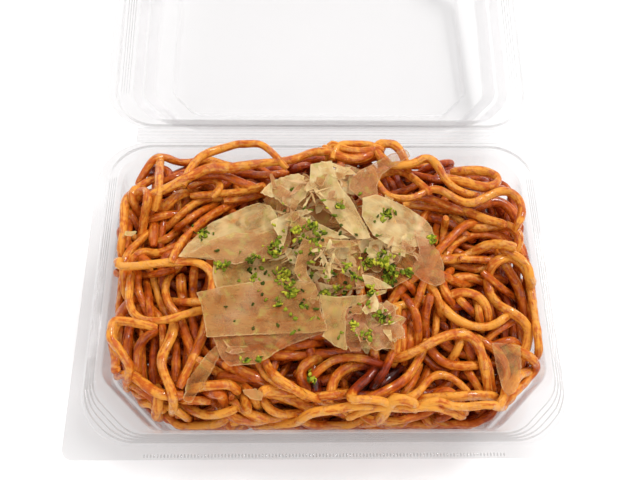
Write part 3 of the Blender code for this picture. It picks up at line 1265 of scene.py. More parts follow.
# The strands that give the heap its face, lowest first: how deep each is in colour, from 0 to 1, and
# its path as it looks on the plane at READ_LEVEL from the main view.
FACE_STRANDS: tuple[tuple[float, tuple[Place, ...]], ...] = (
    (0.40, ((12.4, -51.8), (19, -51.5), (24.5, -51.8), (28.4, -52), (32.3, -51), (36.2, -49.4), (40, -49.8),
        (43.8, -50.5))),
    (0.55, ((-30.6, -52.5), (-27, -52.2), (-23.5, -51.6))),
    (0.20, ((-24.5, -53.6), (-20, -53.8), (-14.2, -53.2), (-8.5, -53), (-2.8, -52.9), (1.6, -53.3),
        (5.4, -53.6), (9.2, -54), (12.4, -54.3))),
    (0.20, ((12.9, -53.2), (16.8, -53.5), (20.6, -53.7), (24.5, -53.8), (28, -53.9))),
    (0.20, ((38, -53.4), (43.6, -53.5), (49.4, -53.4), (54.1, -53), (58, -51.9), (61, -50.2))),
    (0.70, ((-70.5, -17), (-71, -23), (-70.5, -29), (-69.5, -36))),
    (0.60, ((-65.3, -21), (-65.4, -27), (-64.8, -32), (-63.8, -38.5))),
    (0.75, ((-61, -19.3), (-64.5, -20.6), (-66.8, -23.5), (-67.2, -27), (-66.5, -31), (-66, -36))),
    (0.60, ((-53.2, -23), (-53, -30), (-52.8, -35), (-52.4, -39.5))),
    (0.85, ((-60.8, -24), (-61.3, -30), (-60.6, -36), (-60, -41))),
    (0.85, ((-41.5, -42), (-38.5, -44.5), (-35.4, -48))),
    (0.85, ((-43, -46.6), (-39, -47.4), (-35.4, -49.6))),
    (0.75, ((-33.4, -36.6), (-27.5, -36.9), (-22.4, -39.2))),
    (0.80, ((-13.6, -25.4), (-9.4, -24.9), (-4.5, -24.2))),
    (0.80, ((38, -9.6), (36.4, -14.4), (36.3, -21))),
    (0.80, ((27.6, -31.4), (26, -34.4), (22, -37), (20, -39.4))),
    (0.80, ((20, 3), (26, -3), (31, -6), (33, -12))),
    (0.70, ((-50, -46), (-46.5, -49.5), (-43.5, -52.2))),
    (0.50, ((-58.5, -46.3), (-54.5, -48.2), (-50.5, -50))),
    (0.70, ((-56.5, -51), (-50, -52.4), (-44.5, -52.6), (-38, -52.4), (-33, -52.4))),
    (0.70, ((44, -50.2), (49.5, -49.8), (53.4, -49.6), (57, -49.8), (60.5, -50.8))),
    (0.65, ((-69, -40.5), (-64, -43.4), (-60.5, -45.5), (-58.5, -47.5))),
    (0.50, ((-72, -37.5), (-66.5, -39), (-61, -41.5), (-57, -43.6), (-53.5, -43.4))),
    (0.25, ((-73.8, -40.5), (-70.5, -43.3), (-66.2, -46.4), (-62, -48.7), (-59, -50.2))),
    (0.20, ((-58.6, -45), (-58.3, -49), (-58.8, -53.3))),
    (0.55, ((-58.6, -18), (-58.2, -22), (-57.8, -26))),
    (0.60, ((-52, -16.5), (-49.6, -22), (-47.4, -27), (-46, -33))),
    (0.35, ((-54.5, -17), (-54.6, -21.5), (-56.8, -25), (-58.8, -28.5), (-58.9, -31.5), (-57.2, -35),
        (-55, -39), (-53.3, -42.5), (-52.8, -46.8))),
    (0.45, ((-42.8, -14), (-43.8, -20), (-45.6, -25.5), (-47, -30), (-49.4, -36))),
    (0.75, ((-69.6, 2), (-69, -3), (-66.5, -8), (-64, -13))),
    (0.50, ((-69.5, -6), (-68, -10), (-66.3, -14))),
    (0.60, ((-65.8, 1), (-65.2, -5), (-63.5, -12))),
    (0.70, ((-48.6, 4), (-48.6, -4), (-47.2, -9))),
    (0.55, ((-52.8, -2.5), (-52.3, -6), (-51.6, -10.5))),
    (0.70, ((-75, 3.6), (-69, 2.8), (-63, 3.8), (-57, 5))),
    (0.30, ((-65.3, 5), (-62.6, -0.5), (-61.7, -5.5), (-59.2, -10.5), (-57.5, -13))),
    (0.35, ((-55.2, 6), (-58.2, 1.8), (-59.3, -3), (-58.2, -7.5), (-54.8, -11.5))),
    (0.35, ((-66, -16.6), (-71.5, -15.4), (-77, -14.8), (-80.6, -14.2), (-80.8, -16.8), (-79, -20.8),
        (-77.4, -25), (-75.4, -30), (-73.6, -35.5), (-71.8, -39.2))),
    (0.30, ((-72, 3), (-72.2, -2), (-71.8, -8), (-70.6, -13), (-67, -15.4), (-62, -15.8), (-57, -15),
        (-52.5, -13.4), (-48, -11.5), (-43, -11))),
    (0.60, ((-75.8, 18.5), (-73.4, 15), (-70.8, 11.5), (-68, 9.5))),
    (0.20, ((-80, 8.4), (-76.5, 7.2), (-71.6, 6.8), (-67, 7.4), (-61.2, 8.2), (-55, 8.4), (-50.8, 9.2),
        (-46.4, 8.4), (-43.2, 6.2), (-41.2, 2.5), (-41.5, -2))),
    (0.70, ((-60.4, 30), (-62, 25), (-62, 19))),
    (0.75, ((-65.5, 27), (-65, 20))),
    (0.65, ((-66, 40), (-66.4, 34), (-66.5, 28), (-66, 22))),
    (0.50, ((-52.5, 26.5), (-49, 29.8), (-46, 31.6), (-42, 33.5))),
    (0.45, ((-75, 19), (-74.8, 26), (-74.5, 32), (-73.6, 38), (-70.8, 41.6), (-68, 40.6), (-68.2, 36),
        (-69, 31), (-69, 26), (-69.3, 21), (-69.6, 16), (-70.6, 12))),
    (0.35, ((-68, 18), (-64, 17), (-60.5, 17.4), (-57.2, 20.3), (-54.3, 23.8))),
    (0.50, ((-56, 12.5), (-54.6, 17), (-51.8, 20.3), (-48, 24.6), (-44, 28.6), (-39, 31.8), (-33, 35),
        (-28, 37))),
    (0.45, ((-65, 30.3), (-62, 31.5), (-59.8, 35), (-57.2, 38), (-54, 39.8), (-50.5, 38.9))),
    (0.35, ((-47, 38), (-42, 38.5), (-37.6, 38.8), (-33, 39.2), (-28, 41))),
    (0.30, ((-59.6, 24.2), (-56.8, 27.2), (-53.5, 31), (-50.3, 34.4), (-46.2, 36.6), (-42, 36.2),
        (-39.5, 36.8), (-34, 38.6))),
    (0.70, ((-66.4, 50.3), (-62.5, 51), (-60, 48.5), (-60.2, 44))),
    (0.40, ((-64.9, 50), (-64.8, 46), (-64.5, 41), (-65, 36))),
    (0.60, ((-59.2, 46.5), (-56.8, 48), (-54.5, 46.8))),
    (0.45, ((-48.9, 43.6), (-45.5, 45.6), (-41.5, 45), (-39, 42.5), (-41, 40))),
    (0.75, ((-47.5, 47), (-42.3, 47.8), (-37.8, 46.8), (-33.3, 44.2), (-28.5, 41.6), (-24, 40))),
    (0.50, ((-38, 49), (-33, 48.6), (-28, 47.6), (-23, 47), (-19, 47.6))),
    (0.50, ((-34, 36.6), (-28, 37.5), (-23.5, 39))),
    (0.25, ((-53.6, 46.8), (-51.4, 52.4), (-48.8, 56), (-45.3, 58.2), (-41.8, 59.6), (-38.4, 60.5),
        (-34, 62.4), (-29.5, 63.4), (-25.9, 63), (-23.2, 61.4), (-20.5, 58.4), (-18.4, 56), (-16.5, 53.5))),
    (0.35, ((-62.9, 40.2), (-59.2, 42), (-54.8, 45), (-50.7, 48.2), (-46.7, 50.3), (-41.8, 50.5),
        (-36, 50.5), (-31.5, 51.8), (-27, 52.6), (-22.6, 53.2), (-18.2, 53.6), (-13.8, 54.2), (-9.4, 55.5),
        (-6.5, 57.4), (-2.5, 59), (2, 59), (5.6, 58.6))),
    (0.85, ((-9, 51.5), (-6.5, 52.8), (-4, 51.5))),
    (0.60, ((6.6, 54.3), (11, 53.3), (15.4, 53.6), (19, 55))),
    (0.50, ((5, 57.6), (8.6, 55.4), (12.2, 54.6), (15.3, 55.5), (19, 57), (21.5, 60))),
    (0.40, ((5.6, 60.4), (9, 59.4), (13, 58.8), (17, 58.6), (20.5, 59.5))),
    (0.25, ((5.2, 60), (5.9, 62.6), (9, 63.6), (13.4, 63.5), (17, 63.2), (20.2, 61.5))),
    (0.45, ((24.5, 55.5), (22, 58.5), (21.8, 61.2), (24.5, 63), (28.1, 63.4), (29.9, 62.2), (31.7, 59.6),
        (33.2, 56.5), (33.6, 52.5))),
    (0.60, ((36, 47.6), (40.2, 46.8), (44.6, 45.8), (47.8, 45.4))),
    (0.45, ((24.6, 47.8), (28.7, 50.2), (32.2, 50.3), (35.3, 48), (37.7, 44.6), (40.2, 41.6))),
    (0.30, ((32.5, 52.4), (36.7, 52.8), (40.2, 55.4), (42.7, 56.8), (44.8, 55.4), (46.6, 51.8), (48, 47.7),
        (49.8, 43.8), (53, 40.6), (56.8, 38.5), (60.4, 38.1))),
    (0.60, ((54, 45), (59.5, 43), (64.7, 41.6), (68.4, 41.4))),
    (0.60, ((50.3, 46.4), (53.7, 47.9), (55.3, 46.6))),
    (0.30, ((56.4, 49.4), (61.6, 49.9), (66, 49.4), (69.2, 48.2), (70.9, 45.8), (70.2, 43.2), (67.4, 42),
        (63, 41.9), (59.3, 43.4), (55.7, 44.6), (52.3, 45.2))),
    (0.65, ((63, 33.8), (67.2, 35.9), (70.8, 35.3), (73.5, 32.3), (75.4, 28.8), (75.6, 26))),
    (0.60, ((41, 36.6), (46, 34.8), (49.5, 33))),
    (0.40, ((36, 33.5), (41, 33.4), (45.5, 32.3), (49.8, 31.4), (54, 31.4), (57, 30.8), (60, 28.8),
        (63.4, 27), (67, 26))),
    (0.30, ((21, 46), (22.5, 41.8), (25.5, 38.2), (29.9, 36.6), (35.2, 36.6), (38.7, 38.4), (41.3, 40.8),
        (44.2, 41.8), (47.5, 40.4), (50.6, 37.9), (53.8, 35.5), (57, 34), (59.5, 34.2), (63.8, 37),
        (67.4, 39), (70.2, 40.5), (73.6, 40.4), (76.7, 38), (78.2, 34), (78.1, 29.5), (76, 25.8))),
    (0.45, ((44.4, 25.5), (43, 19.5))),
    (0.40, ((46.6, 23), (45.6, 19), (45, 14.5))),
    (0.45, ((36, 29.6), (40.2, 28.8), (43.7, 27.3), (47.3, 26.7), (50.5, 24.9), (53, 22), (55, 20.4))),
    (0.25, ((53, 26.2), (56, 24), (59.9, 23.3), (64.1, 23.9), (69.5, 24.9), (73.9, 23.9), (76.2, 21),
        (75.9, 17), (73.6, 14.2))),
    (0.35, ((46.2, 11.5), (48.3, 15.1), (51.9, 18.1), (56, 20), (61, 20.6), (65.2, 20.4), (68.4, 19),
        (70.6, 16.4), (71.4, 14))),
    (0.30, ((45, 9.8), (50, 9.9), (54.5, 11), (58.6, 13.7), (62.1, 16), (65.5, 17), (68.6, 16.2))),
    (0.55, ((55.8, 9.8), (59.8, 9.7), (63, 9))),
    (0.30, ((45.6, 8.4), (50.2, 6.9), (54.4, 6), (57.6, 5.2), (61, 6.2))),
    (0.60, ((63, 1), (65.3, -1.5), (67.7, -3.8), (70.4, -5.6))),
    (0.45, ((68.2, 8.6), (69.8, 5), (71.8, 0.8), (73, -3.3), (73.5, -7.2), (73.8, -11), (73.8, -15))),
    (0.50, ((76.6, -4), (76.7, -10), (76.2, -16.5))),
    (0.35, ((74.5, 7), (77.2, 2.6), (78.4, -1), (78.9, -5.6), (78.8, -10), (78.4, -14.6), (77.6, -19.2),
        (78, -23), (77.8, -27))),
    (0.20, ((72, 12), (75.2, 10.1), (78, 6.4), (79, 3))),
    (0.70, ((47, -10), (50, -9.2), (53, -8.6), (55.5, -9.6))),
    (0.10, ((52.2, -9.4), (55, -12.6))),
    (0.40, ((56.6, -10), (56.9, -16))),
    (0.35, ((43.6, -6), (44.6, -2.8), (46, 0.1), (48.4, 2), (51.4, 2.7), (54.8, 2.7), (57.6, 2),
        (59.6, 0.4))),
    (0.30, ((43.4, -9.5), (44, -7.4), (46, -5), (49.3, -3.7), (52.6, -3.7), (56, -4.1), (58.4, -5.5),
        (59.9, -7.8), (60.5, -11), (60.2, -15.5))),
    (0.65, ((58.6, -23), (61.7, -19.8), (65.4, -17.6))),
    (0.25, ((43.2, -9.6), (45, -12.4), (47.3, -14.9), (50.1, -16.4), (53.2, -17.7), (56.4, -18.4),
        (59.6, -18), (62.8, -16.7), (65.6, -14.6))),
    (0.30, ((76.6, 4.6), (75.4, 8.3), (73.5, 10.6), (70.3, 11.1), (67.3, 10.6), (64.6, 8.7), (62.4, 6),
        (61.2, 2.3), (60.8, -1.5), (61, -4.7), (62.3, -7.4), (64.6, -9.7), (67, -11), (69.3, -12.3),
        (71.6, -14.1), (73.8, -16.2), (75, -18.9), (74.8, -21.5), (73.2, -24.2), (72, -27), (70.1, -31.2),
        (68.6, -34.5), (67.4, -38.7), (66.8, -42.8), (66.2, -45.6))),
    (0.45, ((39, -1), (41.7, -4.3), (42.8, -7), (43, -11))),
    (0.30, ((21, -11.6), (25, -10.2), (28, -9.2), (31, -8.5), (34.4, -7.8), (37, -7.2))),
    (0.35, ((26, -1.4), (30.6, -0.4), (33.7, -0.5), (36.1, -2.1), (38.5, -4.1), (40.2, -6.9), (41.4, -10),
        (41.3, -13.4), (40.8, -17), (40, -20.6))),
    (0.55, ((33.6, -14.6), (34.5, -20.2), (33, -25))),
    (0.50, ((37.4, -8.6), (34, -11.8), (32, -15), (31.2, -18.9), (30.9, -22.5), (30.2, -26.4))),
    (0.60, ((29.2, -13.6), (28.2, -18.2), (28.4, -22), (28.2, -27))),
    (0.35, ((26.2, -14.4), (25.6, -19), (25.6, -23.4), (25, -28))),
    (0.70, ((51.2, -24.5), (52.8, -29), (52.6, -34.5))),
    (0.15, ((45.2, -30.4), (47, -28), (48.4, -25.6), (49.4, -22.4))),
    (0.70, ((48.5, -36), (54.4, -37.6))),
    (0.50, ((52.4, -38), (54.8, -42.6))),
    (0.35, ((38.2, -27), (40, -30), (42.2, -32.2), (45.2, -33.2), (48.8, -32.9), (52.6, -32.6))),
    (0.50, ((37, -44.4), (40, -41.6), (42.9, -40.3), (45.3, -42.4), (46.6, -45.4))),
    (0.50, ((57.2, -23.6), (60.6, -25.6), (62.9, -28.3), (64.6, -31.6), (65.1, -35.3), (64.8, -39.5),
        (64.1, -43.6), (63.6, -47.2))),
    (0.15, ((68.4, -40.2), (71, -37.5), (73, -35.9))),
    (0.35, ((70, -27.4), (72.6, -29), (75.2, -30.8), (77, -33.3), (77.6, -36), (76, -38.9), (74, -41),
        (71.5, -43), (68.9, -45), (66.2, -46.8))),
    (0.35, ((19.5, -29.6), (23.2, -30.3), (26, -29.9), (28.4, -29.2), (31.1, -27.8), (34.7, -26.1),
        (38.8, -23.6), (42.2, -21.6), (46.2, -20.3), (50.2, -20.2), (53.4, -20.8), (55.2, -23), (56.2, -26),
        (56.5, -30.3), (56.9, -35.7), (57.3, -40.6), (57.3, -45))),
    (0.50, ((26.6, -44.2), (29.3, -41), (30.9, -38.5), (32.2, -35.4))),
    (0.55, ((20, -45), (23, -45.6), (26.8, -47.2))),
    (0.65, ((22.9, -31), (21.3, -34.3), (19.4, -37))),
    (0.35, ((12.4, -47.2), (16.2, -45.7), (19.4, -43.4), (22.6, -41.3), (25.8, -39.8), (28.5, -38.1),
        (30.6, -35.7), (31.9, -33.2), (33.2, -30.8), (34.6, -27.8))),
    (0.60, ((-20.6, -28.6), (-16.2, -28.7), (-12.4, -28.5), (-8, -28.8), (-3.7, -28.6), (1.7, -28.1),
        (5.7, -27.8), (9.7, -27.3), (13.7, -27.6))),
    (0.70, ((-4.6, -29.5), (-3.5, -35.6), (-3.5, -40.5), (-3, -45))),
    (0.40, ((-5.6, -31), (-8.4, -32.2), (-9.8, -35.6), (-9, -38.2), (-6.4, -41.2))),
    (0.45, ((-3.4, -44.2), (0.8, -43.7), (4.8, -43.3))),
    (0.35, ((2, -41), (2.5, -37.6), (4.4, -35.2), (7.2, -33.1), (10.8, -32), (14.8, -32), (17.6, -33.4))),
    (0.30, ((-2.6, -34.6), (-0.3, -31.9), (2.5, -30.3), (5.3, -29.6), (10, -29.2), (13.7, -29.6),
        (17, -31))),
    (0.65, ((-31, -34), (-26, -36), (-22, -38))),
    (0.30, ((-43, -40.2), (-40, -39.6), (-37.4, -39.9), (-35, -41.7), (-32.8, -44.4), (-31.6, -47),
        (-31.6, -50), (-31.2, -53.4))),
    (0.30, ((-41, -33), (-39.4, -34.2), (-36.2, -36.8), (-33.3, -39.3), (-30.5, -41.7), (-28, -44.5),
        (-25.3, -46.9), (-23.4, -48))),
    (0.55, ((-20.6, -48), (-16.8, -46.7))),
    (0.45, ((-12.8, -42.6), (-17, -43.2), (-19.4, -43.8), (-21.4, -45.6), (-22.4, -48), (-22.5, -51))),
    (0.45, ((-21, -32), (-18.7, -36.2), (-16.4, -37.7), (-13.3, -39.4), (-10.6, -41.2))),
    (0.50, ((-16.4, -45.2), (-13, -47), (-10, -48.3), (-5, -49.5), (0, -49.9), (5, -50.6))),
    (0.30, ((-23, -32.6), (-21.6, -36.4), (-20.4, -39), (-18, -41), (-15.2, -42.3), (-11.8, -43.8),
        (-8.6, -45.4), (-4.8, -46.8), (-1, -47.3), (2.5, -47.8), (5.6, -49), (8.4, -50.6))),
    (0.30, ((18, -30), (18.5, -33.2), (16.8, -36), (14.2, -38.1), (11.4, -39.8), (9, -41.8), (7.3, -44.8),
        (8, -47.4), (10.3, -49), (13.8, -50.2), (17.6, -50.3), (21.5, -49.8), (26.2, -48.2), (29.7, -46.2),
        (32.2, -44.2), (33.9, -41.8), (35.2, -38.9), (36.9, -36.4), (39.7, -35.2), (42.8, -35.4),
        (45.4, -37.3), (48.5, -40.2), (50.5, -42.8), (51.5, -45.4))),
    (0.30, ((33.5, -47.2), (37.6, -46.7), (41.6, -46.6), (45.5, -46.6), (49.5, -46.3), (53.4, -46.2),
        (56.5, -46.3), (59.7, -47.4), (62, -49), (64.8, -50))),
)

# Strands that stand up from the heap at its edges: where each starts in the list above, and the
# height that its middle stands at.
STANDING: dict[Place, float] = {
    (-53.6, 46.8): 47.0, (5.2, 60): 46.0, (24.5, 55.5): 46.0, (32.5, 52.4): 46.0,
    (56.4, 49.4): 44.0, (-62.9, 40.2): 44.5, (5, 57.6): 44.0, (5.6, 60.4): 44.0, (21, 46): 44.0,
    (-66, -16.6): 35.0, (-80, 8.4): 37.5, (-30.6, -52.5): 26.0, (-24.5, -53.6): 26.5,
    (12.9, -53.2): 26.5, (38, -53.4): 26.5, (12.4, -51.8): 27.5,
}

# Where the strands are painted with shade, nearly black, for the dark hollows among them, as it looks on
# that plane: where and how wide.
HOLLOW_SHADES: tuple[tuple[float, float, float], ...] = (
    (17.5, -34.0, 4.5), (13.0, -39.5, 4.5), (23.0, -36.5, 4.0), (18.0, -39.0, 3.5),
    (-3.0, -40.0, 2.5), (51.0, -12.0, 3.0),
)

# Hollows that show between the strands, as they look on that plane: where, how wide and how deep.
HOLLOWS: tuple[tuple[float, float, float, float], ...] = (
    (16, -41, 8.0, 14.0), (24, -36, 5.0, 5.0), (-28, -39, 5.0, 6.0), (-37, -46, 5.0, 5.0),
    (-2, -24, 4.0, 5.0), (-6, -36, 4.0, 4.0), (4, -39, 4.0, 4.0), (-40, -25, 4.0, 5.0),
    (-62, -31, 5.0, 7.0), (-50, -4, 6.0, 6.0), (-68, -7, 5.0, 5.0), (-57, 27, 5.0, 4.0),
    (-71, 30, 3.0, 5.0), (51, -11, 6.0, 7.0), (68, -2, 5.0, 6.0), (61, -34, 4.0, 6.0),
    (52, -29, 5.0, 5.0), (43, -44, 4.0, 5.0), (73, -36, 3.0, 5.0), (34, -18, 4.0, 5.0),
    (56, 16, 6.0, 5.0), (46, 36, 5.0, 5.0), (31, 43, 5.0, 5.0), (71, 31, 4.0, 6.0),
)

# Behind this line on that plane only single strands stand above the heap.
BACK_LINE: tuple[Place, ...] = (
    (-84, 26), (-76, 36), (-70, 40), (-62, 43), (-55, 47), (-47, 50), (-35, 51), (-22, 53),
    (-8, 57), (0, 59), (20, 59), (28, 57), (34, 51), (44, 47), (60, 44), (70, 41), (76, 34),
    (84, 26),
)


class Layer(Enum):
    """Where in the heap a strand lies."""

    BOTTOM = 0
    FILL = 1
    FACE = 2


@dataclass
class Strand:
    """One noodle: its middle line, where it lies, how deep its colour is, and if it stands up."""

    path: Array
    layer: Layer
    tone: float
    stands: bool = False


def onwards(at: Place, heading: float, reach: float) -> Place:
    """The place that lies so far from another in a direction, which is in radians."""
    return at[0] + reach * math.cos(heading), at[1] + reach * math.sin(heading)


@dataclass
class StrandLayer:
    """Lays strands in the pack one by one, each where the heap is still low."""

    radius: float = 1.75
    bead: float = 2.7  # the spacing of a strand's points
    bottom_strands: int = 40
    fill_strands: int = 420
    core_inset: float = 24.0
    core_cover: float = 14.0  # how deep the core's top lies under the heap's face
    core_base: float = 8.0
    face_cover: float = 5.5  # how deep the filling's top lies under the heap's face
    tuck: float = 5.0  # how far a face strand's ends run on under the others
    tuck_depth: float = 5.0
    tuck_fade: float = 2.0
    face_level: float = 36.0  # about how high the face strands lie
    face_bends: int = 60  # how stiffly they span the gaps
    cell: float = 0.8  # of the grids of heights
    wall_level: float = 25.0  # the height at which the walls count
    wall_play: float = 0.3
    bottom_inset: float = 17.0
    bottom_aim: float = 6.0
    bottom_most: float = 6.5  # no bottom strand lies higher
    tones: tuple[float, float] = (0.3, 0.8)  # the hidden strands' depth of colour
    outside: float = -5.0  # what counts as missing beyond the walls
    never: float = -9.0  # so that no strand starts there
    spread: int = 4  # how many squares around a place count in how much is missing there
    chance: float = 3.0  # how much chance counts in where a strand starts
    least: float = 1.0  # no strand is laid where less is missing
    crumb: float = 0.8  # what fills a place that is too small for a strand
    shortest: int = 6  # beads
    lengths: tuple[int, int] = (30, 76)  # beads, the second one excluded
    fine: float = 1.2  # the spacing of a path's points while it is laid
    looks: tuple[tuple[float, int], ...] = ((9.0, 2), (4.0, 1))  # how far ahead, and in how many bends
    turns: tuple[float, ...] = (-0.16, -0.08, 0.0, 0.08, 0.16)  # how a bead may change the bend
    most_turn: float = 0.2
    whim: float = 1.5  # how much chance counts against where the heap is low
    turn_cost: float = 6.0
    bend_cost: float = 4.0
    wall_cost: float = 60.0
    form: HeapForm = field(default_factory=HeapForm)
    cavity: Cavity = field(default_factory=Cavity)
    rng: np.random.Generator = field(default_factory=lambda: np.random.default_rng(7))

    def core_top(self, x: Array, y: Array) -> Array:
        """The height of the core's upper face."""
        return self.form.face(x, y) - self.core_cover

    def ground(self, x: Array, y: Array) -> Array:
        """The tray's floor, and the core's top where the core is."""
        floor = self.cavity.floor(x, y)
        return np.where(self.cavity.inset(x, y) > self.core_inset, self.core_top(x, y), floor)

    def walk(self, want: Array, inside: Array, field_: HeightField, steps: int, at: Place) -> Array:
        """A path that seeks where the heap is low.

        Args:
            want: how much is still missing on each grid square.
            inside: the squares that a strand may cross.
            field_: the grid.
            steps: the path's length in beads.
            at: where it starts.

        Returns:
            The path, seen from above.
        """
        heading, turn = self.rng.random() * 2 * math.pi, 0.0
        path = [at]
        for _ in range(steps - 1):
            best = (-math.inf, 0.0)
            for change in self.turns:
                trial = min(max(turn + change, -self.most_turn), self.most_turn)
                worth = self.rng.normal() * self.whim
                worth = worth - abs(change) * self.turn_cost - abs(trial) * self.bend_cost
                for reach, bends in self.looks:
                    cell = field_.cells(np.array(onwards(path[-1], heading + bends * trial, reach)))
                    worth += want[cell] if inside[cell] else -self.wall_cost
                best = max(best, (worth, trial))
            turn = best[1]
            heading += turn
            spot = onwards(path[-1], heading, self.bead)
            if not inside[field_.cells(np.array(spot))]:
                break
            path.append(spot)
        return np.array(path)

    def beads(self, path: Array) -> Array:
        """A fine path thinned to the spacing of the beads."""
        return smooth_path(path[::2] if len(path) > self.shortest else path, self.bead)

    def lay(
        self, field_: HeightField, target: Array, inside: Array, most: int, layer: Layer
    ) -> list[Strand]:
        """Lays strands until the target is filled.

        Args:
            field_: the heights so far, which the strands raise.
            target: the height wanted on each square.
            inside: the squares that a strand may cross.
            most: the most strands to lay.
            layer: which layer they make.

        Returns:
            The strands.
        """
        strands = []
        for _ in range(most):
            want = blurred(np.where(inside, target - field_.height, self.outside), self.spread)
            hollow = np.where(inside, want, self.never) + self.rng.random(want.shape) * self.chance
            i, j = np.unravel_index(np.argmax(hollow), hollow.shape)
            if want[i, j] < self.least:
                break
            start = (float(field_.x[i, j]), float(field_.y[i, j]))
            path = self.walk(want, inside, field_, int(self.rng.integers(*self.lengths)), start)
            if len(path) < self.shortest:
                field_.height[max(0, i - 2) : i + 3, max(0, j - 2) : j + 3] += self.crumb
                continue
            fine = smooth_path(path, self.fine)
            z = field_.rest(fine, self.radius)
            if layer is Layer.BOTTOM:
                z = np.minimum(z, self.bottom_most)
            lain = np.c_[fine, z]
            field_.stamp(lain, self.radius)
            strands.append(Strand(self.beads(lain), layer, float(self.rng.uniform(*self.tones))))
        return strands

    def hollowed(self, field_: HeightField, target: Array) -> Array:
        """The target heights with the hollows sunk into them."""
        for x, y, width, depth in HOLLOWS:
            at = VIEW.lifted(np.array([[x, y]]), READ_LEVEL, np.array([self.face_level]))[0]
            away = np.hypot(field_.x - at[0], field_.y - at[1])
            target = target - depth * (1 - smooth_step(0.5 * width, 1.5 * width, away))
        return target

    def behind_line(self, x: Array, y: Array) -> Array:
        """The height up to which the filling doesn't show above the back line."""
        line = np.interp(x, *zip(*BACK_LINE))
        slope = (VIEW.place[2] - READ_LEVEL) / (line - VIEW.place[1])
        return READ_LEVEL - (y - line) * slope - 2 * self.radius

    def tucked(self, points: Array) -> Array:
        """A path made longer at both ends, where it goes under its neighbours."""
        before, after = (
            end + (end - inner) / np.linalg.norm(end - inner) * self.tuck
            for end, inner in ((points[0], points[1]), (points[-1], points[-2]))
        )
        return np.vstack([before, points, after])

    def lay_face(self, field_: HeightField) -> list[Strand]:
        """Lays the strands that give the heap its face."""
        strands = []
        for tone, points in FACE_STRANDS:
            flat = smooth_path(self.tucked(np.array(points, float)), self.fine)
            z = np.full(len(flat), self.face_level)
            top = STANDING.get(points[0], 0.0)
            to_end = np.minimum(np.arange(len(z)), np.arange(len(z))[::-1]) * self.fine
            dip = self.tuck_depth * (1 - smooth_step(0.0, self.tuck + self.tuck_fade, to_end))
            for _ in range(4):
                z = field_.rest(VIEW.lifted(flat, READ_LEVEL, z), self.radius, self.face_bends)
                lift = np.maximum(top - z, 0) * np.sin(np.linspace(0, math.pi, len(z))) ** 0.5
                z = z + (lift if top else 0)
            z = z - dip
            lain = np.c_[VIEW.lifted(flat, READ_LEVEL, z), z]
            self.cavity.confine(lain, self.radius)
            field_.stamp(lain, self.radius)
            strands.append(Strand(self.beads(lain), Layer.FACE, tone, top > 0))
        return strands

    def strands(self) -> list[Strand]:
        """Lays the whole heap."""
        low = HeightField(self.cell, self.cavity.floor)
        inside = self.cavity.inside(low.x, low.y, self.wall_level, self.radius + self.wall_play)
        flat = inside & (self.cavity.inset(low.x, low.y) > self.bottom_inset)
        aim = np.full(low.x.shape, self.bottom_aim)
        laid = self.lay(low, aim, flat, self.bottom_strands, Layer.BOTTOM)
        heap = HeightField(self.cell, self.ground)
        target = self.hollowed(heap, self.form.face(heap.x, heap.y) - self.face_cover)
        target = np.minimum(target, self.behind_line(heap.x, heap.y))
        laid += self.lay(heap, target, inside, self.fill_strands, Layer.FILL)
        return laid + self.lay_face(heap)


